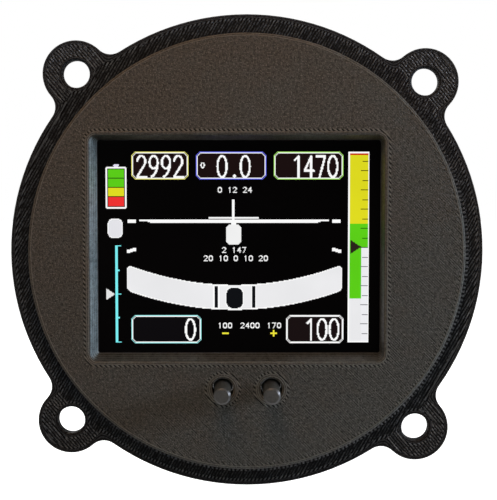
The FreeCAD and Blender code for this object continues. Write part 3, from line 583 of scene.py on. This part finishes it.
# Other finishes. Two tones are mixed by noise whose scale is in marks per millimetre, and a stretch along X,
# Y and Z gives brushed or turned lines. A zone is a second finish beyond a plane: axis, limit and values
plainFinish = {
    "metallic": 0.0,
    "shine": 0.5,
    "scale": 1.0,
    "stretch": (1.0, 1.0, 1.0),
    "depth": 0.01,  # mm
    "marks": {"Detail": 3.0, "Roughness": 0.6},
    "stains": {"Scale": 0.25, "Detail": 2.0},
    "stainShare": 0.35,
    "spread": {"From Min": 0.35, "From Max": 0.65},
    "bumpStrength": 0.6,
}
finishes = {
    # Moulded acetal of the button stems: smooth, slightly waxy, darker in the mould's grain
    "mouldedAcetal": {"tones": ("#171716", "#292a27"), "roughness": (0.3, 0.44), "scale": 3.2, "depth": 0.025,
                      "shine": 0.3},
    # Glass-filled connector and switch bodies: black, with a fine spark-eroded grain
    "mouldedPolyester": {"tones": ("#101011", "#1d1d1e"), "roughness": (0.4, 0.6), "scale": 4.0},
    # Natural nylon sockets: off-white and a little waxy
    "mouldedNylon": {"tones": ("#d9d3c0", "#e9e4d6"), "roughness": (0.35, 0.5), "scale": 1.4},
    # Epoxy chip packages: dark grey, gritty
    "mouldedEpoxy": {"tones": ("#1a1a1b", "#2b2b2d"), "roughness": (0.5, 0.7), "scale": 6.0},
    # Turned brass fittings: rings from the lathe tool
    "turnedBrass": {"tones": ("#b08d3f", "#d4b45c"), "roughness": (0.2, 0.34), "stretch": (0.3, 7.0, 0.3),
                    "depth": 0.012, "metallic": 1.0},
    # Machined brass inserts and nuts
    "machinedBrass": {"tones": ("#a98539", "#cbab55"), "roughness": (0.25, 0.4), "scale": 2.0, "depth": 0.012,
                      "metallic": 1.0},
    # Bright nickel plate on steel: pressed shell, posts and nuts
    "nickelPlate": {"tones": ("#b7b4ab", "#d6d4cc"), "roughness": (0.16, 0.3), "stretch": (0.5, 3.0, 0.5),
                    "depth": 0.006, "metallic": 1.0},
    # Black oxide on the cap screws: oily blue-black
    "blackOxide": {"tones": ("#1d1d20", "#33343a"), "roughness": (0.3, 0.45), "stretch": (1.2, 5.0, 1.2),
                   "metallic": 1.0},
    # Rolled stainless sheet of the switch covers and snap domes
    "rolledStainless": {"tones": ("#a3a4a6", "#c9cacc"), "roughness": (0.2, 0.34), "stretch": (0.4, 0.4, 9.0),
                        "depth": 0.006, "metallic": 1.0},
    # Gold flash over nickel on the contact pins
    "goldFlash": {"tones": ("#d9ae4c", "#f0cf74"), "roughness": (0.16, 0.26), "stretch": (0.5, 6.0, 0.5),
                  "depth": 0.004, "metallic": 1.0},
    # Extruded silicone tube: milky, with faint lines along its length
    "extrudedSilicone": {"tones": ("#c9ccc9", "#dcdfdb"), "roughness": (0.3, 0.42),
                         "stretch": (3.0, 0.2, 3.0)},
    # Closed-cell foam: dark, with a rough open skin
    "closedCellFoam": {"tones": ("#0e0e0f", "#2a2a2c"), "roughness": (0.85, 1.0), "scale": 5.0,
                       "depth": 0.06},
    # White acrylic foam tape
    "foamTape": {"tones": ("#c8c8c4", "#e2e2de"), "roughness": (0.7, 0.9), "scale": 4.0, "depth": 0.05},
    # Aluminium laminate pouch: silver, softly wrinkled
    "pouchLaminate": {"tones": ("#9fa2a6", "#c5c8cb"), "roughness": (0.3, 0.5), "stretch": (0.35, 0.6, 0.2),
                      "depth": 0.25, "metallic": 1.0},
    # Polyimide ribbon with copper tracks that show through
    "polyimideFilm": {"tones": ("#8a4a16", "#c07a2c"), "roughness": (0.25, 0.4), "stretch": (0.1, 0.1, 1.6)},
    # Grey ribbon cable, its wires side by side along X
    "ribbonCable": {"tones": ("#77797c", "#a3a5a8"), "roughness": (0.45, 0.6), "stretch": (0.8, 0.05, 0.05),
                    "depth": 0.1},
    # Two wires in soft sheaths, the upper one red and the lower one black
    "softWires": {"tones": ("#161616", "#222222"), "roughness": (0.4, 0.5), "scale": 1.5,
                  "zone": {"axis": "Z", "limit": 10.0, "tones": ("#8e1b14", "#a92a20"), "metallic": 0.0}},
    # Folded steel frame of the backlight
    "backlightFrame": {"tones": ("#8f9194", "#b1b3b5"), "roughness": (0.3, 0.45), "stretch": (0.4, 2.0, 4.0),
                       "depth": 0.008, "metallic": 1.0},
    # Radio module: black board below, tinned screening can above
    "screenedModule": {"tones": ("#15171a", "#22252a"), "roughness": (0.25, 0.4), "stretch": (0.4, 0.4, 5.0),
                       "depth": 0.008, "zone": {"axis": "Y", "limit": 8.71, "tones": ("#b4b5b3", "#d0d1cf"),
                                                "metallic": 1.0}},
    # Electrolytic capacitors: black base, drawn aluminium can
    "drawnCan": {"tones": ("#131314", "#202022"), "roughness": (0.22, 0.36), "stretch": (0.4, 5.0, 0.4),
                 "depth": 0.006, "zone": {"axis": "Y", "limit": 8.91, "tones": ("#b9bbbd", "#d8dadb"),
                                          "metallic": 1.0}},
    # Drum core of the coil: sintered ferrite
    "sinteredFerrite": {"tones": ("#2a2b2d", "#414347"), "roughness": (0.55, 0.75), "scale": 3.0,
                        "depth": 0.02},
    # Regulator: epoxy body and a tinned heat tab above it
    "tabbedPackage": {"tones": ("#19191a", "#29292b"), "roughness": (0.4, 0.6), "scale": 4.0,
                      "zone": {"axis": "Z", "limit": 17.06, "tones": ("#b0b1af", "#cfd0ce"),
                               "metallic": 1.0}},
    # Pressure sensors: dark thermoplastic body with its port
    "mouldedSensor": {"tones": ("#2b2d31", "#3d4046"), "roughness": (0.4, 0.55), "scale": 2.5},
}


def makeFinish(name, values):
    material, tree, shader = newMaterial(name, {"Metallic": values["metallic"],
                                                "Specular IOR Level": values["shine"]})
    point = pointInMillimetres(tree)
    stretched = addNode(tree, "VectorMath", {0: point, 1: values["stretch"]}, operation="MULTIPLY")
    marks = addNode(tree, "TexNoise", {"Vector": stretched, "Scale": values["scale"], **values["marks"]})
    stains = addNode(tree, "TexNoise", {"Vector": point, **values["stains"]})
    amount = addNode(tree, "Mix", {0: values["stainShare"], 2: marks, 3: stains})
    spread = addNode(tree, "MapRange", {"Value": amount, **values["spread"]})
    low, high = map(colour, values["tones"])
    tint = addNode(tree, "Mix", {0: spread, 6: low, 7: high}, data_type="RGBA")
    if "zone" in values:
        zone = values["zone"]
        place = addNode(tree, "SeparateXYZ", {0: point}).outputs[zone["axis"]]
        beyond = addNode(tree, "Math", {0: place, 1: zone["limit"]}, operation="GREATER_THAN")
        low, high = map(colour, zone["tones"])
        other = addNode(tree, "Mix", {0: spread, 6: low, 7: high}, data_type="RGBA")
        tint = addNode(tree, "Mix", {0: beyond, 6: tint, 7: other}, data_type="RGBA")
        if zone["metallic"]:
            fillInputs(tree, shader, {"Metallic": beyond})
    smooth, rough = values["roughness"]
    fillInputs(tree, shader, {
        "Base Color": tint,
        "Roughness": addNode(tree, "MapRange", {"Value": spread, "To Min": smooth, "To Max": rough}),
        "Normal": addNode(tree, "Bump", {"Strength": values["bumpStrength"],
                                         "Distance": values["depth"] * millimetre, "Height": marks})})
    return material


# Circuit board: glass-fibre laminate under green solder mask, with copper tracks along X in some cells and
# along Z in others
board = {
    "mask": "#0d3b22",
    "track": "#1b5a36",
    "weave": 0.9,  # mm; the real 0.4 is too fine to show
    "weaveHeight": 0.2,
    "trackPitch": 1.9,  # mm
    "trackStart": 0.8,
    "cells": 0.16,  # per mm
    "depth": 0.03,  # mm
    "bumpStrength": 0.5,
    "shine": 0.5,
    "roughness": {"To Min": 0.25, "To Max": 0.4},
}


def makeBoard(values):
    material, tree, shader = newMaterial("solderMaskLaminate", {"Specular IOR Level": values["shine"]})
    point = pointInMillimetres(tree)
    axes = addNode(tree, "SeparateXYZ", {0: point})
    x, z = axes.outputs["X"], axes.outputs["Z"]
    cells = addNode(tree, "TexVoronoi", {"Vector": point, "Scale": values["cells"]}, distance="MANHATTAN")
    choice = addNode(tree, "Math", {0: cells.outputs["Color"], 1: 0.5}, operation="GREATER_THAN")
    tracks = addNode(tree, "Mix", {0: choice, 2: ridges(tree, x, values["trackPitch"]),
                                   3: ridges(tree, z, values["trackPitch"])})
    copper = addNode(tree, "Math", {0: tracks, 1: values["trackStart"]}, operation="GREATER_THAN")
    weave = addNode(tree, "Math", {0: ridges(tree, x, values["weave"]), 1: ridges(tree, z, values["weave"])},
                    operation="MULTIPLY")
    height = addNode(tree, "Math", {0: weave, 1: values["weaveHeight"], 2: copper}, operation="MULTIPLY_ADD")
    mask, track = colour(values["mask"]), colour(values["track"])
    fillInputs(tree, shader, {
        "Base Color": addNode(tree, "Mix", {0: copper, 6: mask, 7: track}, data_type="RGBA"),
        "Roughness": addNode(tree, "MapRange", {"Value": weave, **values["roughness"]}),
        "Normal": addNode(tree, "Bump", {"Strength": values["bumpStrength"],
                                         "Distance": values["depth"] * millimetre, "Height": height})})
    return material


# Polarising film on the glass: black, smooth, with an anti-glare coat that leaves a faint broad sheen
glass = {
    "tones": ("#010101", "#040304"),
    "haze": {"Scale": 0.08, "Detail": 3.0},
    "grain": {"Scale": 6.0, "Detail": 2.0},
    "roughness": {"To Min": 0.12, "To Max": 0.24},
    "shine": 0.008,
}


def makeGlass(values):
    material, tree, shader = newMaterial("polarisedGlass", {"Specular IOR Level": values["shine"]})
    point = pointInMillimetres(tree)
    haze = addNode(tree, "TexNoise", {"Vector": point, **values["haze"]})
    grain = addNode(tree, "TexNoise", {"Vector": point, **values["grain"]})
    low, high = map(colour, values["tones"])
    fillInputs(tree, shader, {
        "Base Color": addNode(tree, "Mix", {0: haze, 6: low, 7: high}, data_type="RGBA"),
        "Roughness": addNode(tree, "MapRange", {"Value": grain, **values["roughness"]})})
    return material


# Lit liquid-crystal cells: each shape's own colour shines through the glass, a little uneven from the
# backlight
pixels = {
    "shine": 0.012,
    "roughness": 0.2,
    "backlight": {"Scale": 0.12, "Detail": 2.0},
    "level": {"From Min": 0.3, "From Max": 0.7, "To Min": 0.94, "To Max": 1.0},
}


def makePixels(values):
    material, tree, shader = newMaterial("litPixels", {
        "Specular IOR Level": values["shine"], "Roughness": values["roughness"], "Base Color": (0, 0, 0, 1),
        "Emission Strength": 1.0})
    tint = addNode(tree, "Attribute", {}, attribute_name="pixelColour")
    backlight = addNode(tree, "TexNoise", {"Vector": pointInMillimetres(tree), **values["backlight"]})
    level = addNode(tree, "MapRange", {"Value": backlight, **values["level"]})
    lit = addNode(tree, "VectorMath", {0: tint.outputs["Color"], "Scale": level}, operation="SCALE")
    fillInputs(tree, shader, {"Emission Color": lit})
    return material


finishOfNode = {
    "case_screws": "blackOxide", "threaded_inserts": "machinedBrass", "display_gasket": "closedCellFoam",
    "display_backlight": "backlightFrame", "foam_pad": "closedCellFoam", "display_ribbon": "polyimideFilm",
    "ribbon_socket": "mouldedNylon", "connector_shell": "nickelPlate", "jack_posts": "nickelPlate",
    "connector_insulator": "mouldedPolyester", "connector_contacts": "goldFlash", "jack_nuts": "nickelPlate",
    "supply_socket": "mouldedPolyester", "supply_ribbon": "ribbonCable", "battery_pack": "pouchLaminate",
    "battery_tape": "foamTape", "battery_lead": "softWires", "battery_socket": "mouldedNylon",
    "processor_module": "screenedModule", "motion_sensor": "mouldedEpoxy", "capacitors": "drawnCan",
    "voltage_regulator": "tabbedPackage", "power_inductor": "sinteredFerrite",
}
for side in ("pitot", "static"):
    finishOfNode.update({side + "_sensor": "mouldedSensor", side + "_hose": "extrudedSilicone",
                         side + "_fitting": "turnedBrass", side + "_nut": "machinedBrass"})
for side in ("left", "right"):
    finishOfNode.update({side + "_switch_base": "mouldedPolyester", side + "_switch_cover": "rolledStainless",
                         side + "_switch_dome": "rolledStainless", side + "_button_stem": "mouldedAcetal"})

materialOfNode = {"front_bezel": makePrintedFront(printed), "rear_case": makePrintedCase(case, printed),
                  "main_board": makeBoard(board), "display_glass": makeGlass(glass)}
made = {name: makeFinish(name, {**plainFinish, **values}) for name, values in finishes.items()}
materialOfNode.update({node: made[name] for node, name in finishOfNode.items()})
for name, node in nodes.items():
    for place in node.material_slots:
        place.material = materialOfNode[name]
print("finishes made for", len(materialOfNode), "nodes")


# The picture on the display, drawn in the cells of its grid. Places are in cells, x to the right and y down
# from the lit area's corner. A picture holds a linear colour for each cell, with alpha 0 where the cell is
# dark
screen = {
    "left": -26.15,  # mm, the lit area's top left corner
    "top": 18.97,
    "pitch": 0.153,  # mm per cell
    "cells": (240, 320),
    "front": 0.012,  # mm that the lit cells stand in front of the glass
    "thickness": 0.008,
}
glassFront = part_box("display_glass")[0].y / millimetre
cellX, cellY = np.meshgrid(np.arange(screen["cells"][1]) + 0.5, np.arange(screen["cells"][0]) + 0.5)
pixelMaterial = makePixels(pixels)
white, green, yellow, cyan = "#ffffff", "#5cd018", "#e0dc20", "#7cf2f6"


# Cells inside a rectangle. With b = |p - middle| - half + corner, a corner is cut where the sum of b in x and
# y passes the corner's size, or rounded where its length does
def inBox(x0, x1, y0, y1, corner=0.0, rounded=False):
    beyondX = np.maximum(abs(cellX - (x0 + x1) / 2) - (x1 - x0) / 2 + corner, 0)
    beyondY = np.maximum(abs(cellY - (y0 + y1) / 2) - (y1 - y0) / 2 + corner, 0)
    return (np.hypot(beyondX, beyondY) if rounded else beyondX + beyondY) <= corner


# Layers from named rows of a colour and a rectangle's numbers
def boxLayers(rows):
    return [(inBox(*numbers), tint) for tint, *numbers in rows.values()]


# Cells on the outline of such a rectangle, drawn inwards. Its inner corner is cut shorter by 2 - sqrt 2 of the
# width, about 0.6
def onOutline(x0, x1, y0, y1, width, corner):
    inner = inBox(x0 + width, x1 - width, y0 + width, y1 - width, max(corner - 0.6 * width, 0))
    return inBox(x0, x1, y0, y1, corner) & ~inner


# Cells within half the width of a line: distance to each run a b is |p - a - t (b - a)|, t kept from 0 to 1
def onLine(points, width):
    points = np.asarray(points, float)
    near = np.full(cellX.shape, np.inf)
    for (startX, startY), (runX, runY) in zip(points, np.diff(points, axis=0)):
        t = ((cellX - startX) * runX + (cellY - startY) * runY) / (runX ** 2 + runY ** 2)
        t = np.clip(t, 0, 1)
        near = np.minimum(near, np.hypot(cellX - startX - t * runX, cellY - startY - t * runY))
    return near <= width / 2


# Cells of a triangle that points along X, from its upright side to its tip
def inPointer(sideX, tipX, middleY, halfHeight):
    share = (cellX - sideX) / (tipX - sideX)
    return (share >= 0) & (share <= 1) & (abs(cellY - middleY) <= halfHeight * (1 - share))


# Points of an ellipse's arc, angles in degrees clockwise from the right
def arc(x, y, radiusX, radiusY, start, end, count=13):
    turn = np.radians(np.linspace(start, end, count))
    return np.stack([x + radiusX * np.cos(turn), y + radiusY * np.sin(turn)], axis=1)


# Digits as lines in a box 1 wide and 1 high
digitLines = {
    "0": [arc(0.5, 0.5, 0.5, 0.5, 0, 360, 25)],
    "1": [[(0.2, 0.2), (0.62, 0.02), (0.62, 1.0)]],
    "2": [np.concatenate([arc(0.48, 0.27, 0.44, 0.27, 190, 385), [(0.03, 0.99), (1.0, 0.99)]])],
    "4": [[(0.72, 1.0), (0.72, 0.02), (0.02, 0.7), (1.0, 0.7)]],
    "7": [[(0.0, 0.02), (0.95, 0.02), (0.35, 1.0)]],
    "9": [arc(0.48, 0.3, 0.44, 0.3, 0, 360, 25), arc(0.1, 0.3, 0.82, 0.69, 0, 80)],
}


# Cells of a number whose digits start at x, each one pitch further on
def inNumber(text, x, y, width, height, pitch, weight):
    lit = np.zeros(cellX.shape, bool)
    for index, character in enumerate(text):
        for line in digitLines.get(character, []):
            lit |= onLine(np.asarray(line, float) * (width, height) + (x + index * pitch, y), weight)
    return lit


# Corners of a thin box, and its faces from them
boxCorners = np.array([(x, y, z) for x in (0, 1) for y in (0, 1) for z in (0, 1)])
boxFaces = np.array([(0, 1, 3, 2), (4, 6, 7, 5), (0, 4, 5, 1), (2, 3, 7, 6), (0, 2, 6, 4), (1, 5, 7, 3)])


# Runs of equal cells as (x0, x1, y0, y1, colour): each row is cut where its colour changes, and a run that
# the row above has too is carried on downwards
def findRuns(picture):
    runs = []
    current = {}
    for row in range(len(picture) + 1):
        found = {}
        if row < len(picture):
            cuts = np.flatnonzero(np.any(np.diff(picture[row], axis=0) != 0, axis=1)) + 1
            bounds = [0, *cuts.tolist(), picture.shape[1]]
            for x0, x1 in zip(bounds, bounds[1:]):
                if picture[row, x0, 3] > 0:
                    key = (x0, x1, *picture[row, x0])
                    found[key] = current.pop(key, row)
        runs += [(key[0], key[1], start, row, key[2:]) for key, start in current.items()]
        current = found
    return runs


# One object from a list of (cells, colour), later ones painted over earlier ones
def makePicture(name, layers):
    picture = np.zeros((*screen["cells"], 4))
    for cells, hexText in layers:
        picture[cells] = colour(hexText)
    runs = findRuns(picture)
    x0, x1, y0, y1 = np.array([run[:4] for run in runs], float).T * screen["pitch"]
    front = np.full(len(runs), glassFront - screen["front"])
    low = np.stack([screen["left"] + x0, front, screen["top"] - y1], axis=1)
    high = np.stack([screen["left"] + x1, front + screen["thickness"], screen["top"] - y0], axis=1)
    points = (low[:, None] + boxCorners * (high - low)[:, None]).reshape(-1, 3) * millimetre
    faces = boxFaces + np.arange(len(runs))[:, None, None] * len(boxCorners)
    piece = newPiece(name, points.tolist(), faces.reshape(-1, 4).tolist(), pixelMaterial)
    tints = np.repeat([run[4] for run in runs], len(boxCorners), axis=0)
    piece.data.attributes.new("pixelColour", "FLOAT_COLOR", "POINT").data.foreach_set("color", tints.ravel())
    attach(piece, "housing")


# Number boxes: place, edge colour, fill, text and where its digits start
boxes = {
    "pressure_readout": {"box": (33, 101, 5, 38), "edge": "#f4f07c", "fill": "#1a0e0e", "text": "2992",
                         "x": 39.5, "y": 10.0, "pitch": 14.7},
    "angle_readout": {"box": (110, 194, 5, 38), "edge": "#6a70ff", "fill": "#1a0e0e", "text": "0 0",
                      "x": 135.7, "y": 10.0, "pitch": 13.8},
    "height_readout": {"box": (203, 286, 5, 38), "edge": "#b4f870", "fill": "#1a0e0e", "text": "1470",
                       "x": 225.6, "y": 10.0, "pitch": 14.1},
    "rate_readout": {"box": (32, 116, 201, 235), "edge": "#a4f6f6", "fill": "#0a080b", "text": "0",
                     "x": 97.4, "y": 205.8, "pitch": 14.7},
    "level_readout": {"box": (218, 287, 201, 235), "edge": "#ffffff", "fill": "#180f10", "text": "100",
                      "x": 241.4, "y": 205.8, "pitch": 14.4},
}
readout = {"corner": 4.6, "edge": 1, "line": 1, "width": 11.0, "height": 25.1, "weight": 2.5}
angleMarks = {
    "ring": (118.0, 21.2, 2.0, 2.8, 0, 360, 25),
    "ringWidth": 1.2,
    "point": (154.4, 158.0, 32.0, 35.6, 1.0),
}


def makeReadout(name, box, values):
    x0, x1, y0, y1 = box["box"]
    edge, corner = values["edge"], values["corner"]
    number = inNumber(box["text"], box["x"], box["y"], values["width"], values["height"], box["pitch"],
                      values["weight"])
    inner = onOutline(x0 + edge, x1 - edge, y0 + edge, y1 - edge, values["line"], corner - edge / 2)
    layers = [(inBox(x0, x1, y0, y1, corner), box["fill"]),
              (onOutline(x0, x1, y0, y1, edge, corner), box["edge"]), (inner | number, white)]
    if name == "angle_readout":
        layers += [(onLine(arc(*angleMarks["ring"]), angleMarks["ringWidth"]), white),
                   (inBox(*angleMarks["point"]), white)]
    makePicture(name, layers)


for name, box in boxes.items():
    makeReadout(name, box, readout)

# Battery gauge: four lit bars in a white outline with its terminal on top, and a plain lamp below. A row has
# a colour, the left, right, upper and lower edges, a corner's size and whether it is rounded
battery = {
    "outline": (white, 2, 27, 23, 73, 1.4),
    "inside": ("#141410", 4, 25, 25, 71),
    "terminal": ("#e8e4fa", 11.3, 18.4, 19.8, 22.9, 1.4),
    "topBar": (green, 5, 24, 26, 36),
    "upperBar": (green, 5, 24, 37, 47),
    "lowerBar": (yellow, 5, 24, 48, 58),
    "lastBar": ("#ee3232", 5, 24, 59, 70),
    "lampEdge": (white, 4.3, 22, 85, 108, 6.2, True),
    "lamp": ("#e5e5ea", 5.3, 21, 86, 107, 5.6, True),
}
makePicture("battery_gauge", boxLayers(battery))

# Aeroplane figure from behind, with bank marks each side. The wing's underside rises towards each tip. Spans
# are measured from the middle, with the height in cells at each of their places
middle = 155.4
wing = {"half": 113.6, "top": 86, "spans": (98.5, 103.5, 113.6), "underside": (90.4, 88.5, 87.9)}
tip = {"from": 117.3, "to": 127.4, "top": 86, "bottom": 90}
bankMark = {"from": 117.6, "to": 128.2, "spans": (117.3, 127.4), "top": (119.4, 122.3), "height": 4.0}
aeroplane = {
    "tailplane": (white, 125, 185.4, 83, 85),
    "fin": (white, 153, 156, 62, 86),
    "neck": (white, 152, 158, 88, 94),
    "body": ("#f4f4f4", 146, 164, 91.6, 116.4, 6.2, True),
}
fromMiddle = abs(cellX - middle)
underside = np.interp(fromMiddle, wing["spans"], wing["underside"])
markTop = np.interp(fromMiddle, bankMark["spans"], bankMark["top"])
inWing = (fromMiddle < wing["half"]) & (cellY > wing["top"]) & (cellY < underside)
inTip = (fromMiddle > tip["from"]) & (fromMiddle < tip["to"]) & (cellY > tip["top"]) & (cellY < tip["bottom"])
inMark = ((fromMiddle > bankMark["from"]) & (fromMiddle < bankMark["to"]) & (cellY > markTop)
          & (cellY < markTop + bankMark["height"]))
makePicture("aeroplane_figure", [(inWing, white), *boxLayers(aeroplane), (inTip | inMark, white)])

# Slip indicator: a curved tube with two marks and a round ball. Its edges are parabolas, and it narrows at
# the ends
slip = {"left": 27.2, "right": 285.0, "topEnd": 140.2, "topMiddle": 164.6, "bottomEnd": 171.5,
        "bottomMiddle": 194.6, "ending": 6.0, "lowerNarrowing": 0.7, "edge": 1.4, "edgeShare": 0.99}
darkFill = "#0d0f13"
slipMarks = {
    "leftEdge": (white, 130.4, 137.6, 164.9, 193.4),
    "leftMark": (darkFill, 132, 136, 165.8, 191.9),
    "rightEdge": (white, 175.8, 182.3, 164.9, 193.4),
    "rightMark": (darkFill, 177.4, 180.7, 165.8, 191.9),
    "ballEdge": (white, 145.2, 167.0, 167.0, 193.6, 7.8, True),
    "ball": (darkFill, 146.4, 165.8, 168.2, 192.6, 7.0, True),
}
slipHalf = (slip["right"] - slip["left"]) / 2
across = (cellX - (slip["left"] + slip["right"]) / 2) / slipHalf
fromEnd = np.clip((1 - abs(across)) * slipHalf / slip["ending"], 0, 1)
narrowing = slip["ending"] * (1 - np.sqrt(1 - (1 - fromEnd) ** 2))
tubeTop = slip["topMiddle"] - (slip["topMiddle"] - slip["topEnd"]) * across ** 2 + narrowing
tubeBottom = (slip["bottomMiddle"] - (slip["bottomMiddle"] - slip["bottomEnd"]) * across ** 2
              - narrowing * slip["lowerNarrowing"])
inTube = (abs(across) < 1) & (cellY > tubeTop) & (cellY < tubeBottom)
inFill = ((abs(across) < slip["edgeShare"]) & (cellY > tubeTop + slip["edge"])
          & (cellY < tubeBottom - slip["edge"]))
makePicture("slip_indicator", [(inTube, white), (inFill, "#ececee"), *boxLayers(slipMarks)])

# Level scale on the right: coloured column with marks and a dark pointer. The marks' tints go down to a limit
# each
column = {
    "edge": (white, 292, 317, 5, 234),
    "cap": ("#cc2a14", 294, 315.6, 7, 9),
    "upper": (yellow, 294, 315.6, 9, 91.1),
    "middle": (green, 294, 315.6, 91.1, 119.1),
    "bar": (green, 294, 308.4, 119.1, 181.4),
    "right": ("#f0f0f4", 308.4, 315.6, 119.1, 232.4),
    "foot": ("#ececee", 294, 308.4, 181.4, 232.4),
}
scaleMarks = {"count": 19, "first": 16.4, "pitch": 11.48, "right": 315.6, "lengths": (6.2, 8.6), "half": 0.5,
              "tints": ((91, "#4a4406"), (120, "#0f5a08"), (240, "#7c7c82"))}
layers = boxLayers(column)
for index in range(scaleMarks["count"]):
    y = scaleMarks["first"] + scaleMarks["pitch"] * index
    left = scaleMarks["right"] - scaleMarks["lengths"][index % 2]
    tint = next(tint for limit, tint in scaleMarks["tints"] if y < limit)
    layers.append((inBox(left, scaleMarks["right"], y - scaleMarks["half"], y + scaleMarks["half"]), tint))
levelPointer = (295.0, 308.0, 118.8, 8.4)
makePicture("level_scale", layers + [(inPointer(*levelPointer), "#2a231a")])

# Rate scale on the left, with its pale pointer
rate = {"left": 13, "right": 16, "top": 117, "bottom": 234, "marks": (117.5, 147.2, 175.5, 204.2, 233.5),
        "lengths": (6.6, 5.0), "half": 0.8, "pointer": (1.6, 12.4, 175.7, 7.2)}
layers = [(inBox(rate["left"], rate["right"], rate["top"], rate["bottom"]), cyan)]
for index, y in enumerate(rate["marks"]):
    right = rate["left"] + rate["lengths"][index % 2]
    layers.append((inBox(rate["left"], right, y - rate["half"], y + rate["half"]), cyan))
makePicture("rate_scale", layers + [(inPointer(*rate["pointer"]), "#e2e2e2")])

# Small plain numbers where captions stand: text, where it starts, and its line. A dash and a cross stand
# below
captions = [("0 12 24", 136, 47), ("2 147", 141, 119), ("20 10 0 10 20", 119, 129), ("100", 136, 210),
            ("2400", 163, 210), ("170", 195, 210)]
caption = {"width": 4, "height": 6, "pitch": 6, "weight": 1.0}
signs = {
    "dash": ("#f0e63c", 141, 149, 222, 224),
    "crossBar": ("#f0e63c", 199, 207, 222, 224),
    "crossPost": ("#f0e63c", 202, 204, 219, 227),
}
layers = [(inNumber(text, x + 0.5, y + 0.5, **caption), white) for text, x, y in captions]
makePicture("scale_numbers", layers + boxLayers(signs))

# Snap domes of the two switches, made at rest, though a pressed button flattens the real ones. A dome is a cap
# of thin sheet between two spheres about one middle: the outer radius is (a^2 + h^2) / 2h for a dome 2a wide
# and h high
dome = {
    "thickness": 0.12,  # mm
    "travel": 0.25,
    "clearance": 0.03,
    "steps": 9,  # rings on each side of the sheet
    "sides": 48,
    "sharpAngle": 40,  # degrees
}


# Rings go from near the outer side's tip to the rim, and back on the inner side
def makeDome(side, values):
    node = side + "_switch_dome"
    low, high = [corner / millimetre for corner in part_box(node)]
    middleX, middleZ = (low.x + high.x) / 2, (low.z + high.z) / 2
    half = (high.x - low.x) / 2
    height = high.y - low.y
    outer = (half ** 2 + height ** 2) / (2 * height)
    inner = outer - values["thickness"]
    middleY = low.y + outer
    innerHalf = math.sqrt(inner ** 2 - (middleY - high.y) ** 2)
    steps = np.arange(1, values["steps"] + 1) / values["steps"]
    spread = np.concatenate([half * steps, innerHalf * steps[::-1]])[:, None]
    reach = np.repeat([outer, inner], len(steps))[:, None]
    sides = values["sides"]
    turn = 2 * math.pi * np.arange(sides) / sides
    rings = np.stack([middleX + spread * np.cos(turn), middleY - np.sqrt(reach ** 2 - spread ** 2) + 0 * turn,
                      middleZ + spread * np.sin(turn)], axis=2).reshape(-1, 3)
    tips = [(middleX, low.y, middleZ), (middleX, low.y + values["thickness"], middleZ)]
    last = (len(spread) - 1) * sides
    faces = []
    for index in range(sides):
        after = (index + 1) % sides
        faces += [(len(rings), index, after), (len(rings) + 1, last + after, last + index)]
        faces += [(ring + index, ring + sides + index, ring + sides + after, ring + after)
                  for ring in range(0, last, sides)]
    points = np.concatenate([rings, tips]) * millimetre
    piece = newPiece(side + "_snap_dome", points.tolist(), faces, made["rolledStainless"])
    piece.data.shade_smooth()
    piece.data.set_sharp_from_angle(angle=math.radians(values["sharpAngle"]))
    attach(piece, "housing")
    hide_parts(node)
    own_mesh(piece)


for side in ("left", "right"):
    makeDome(side, dome)
print("snap domes made")
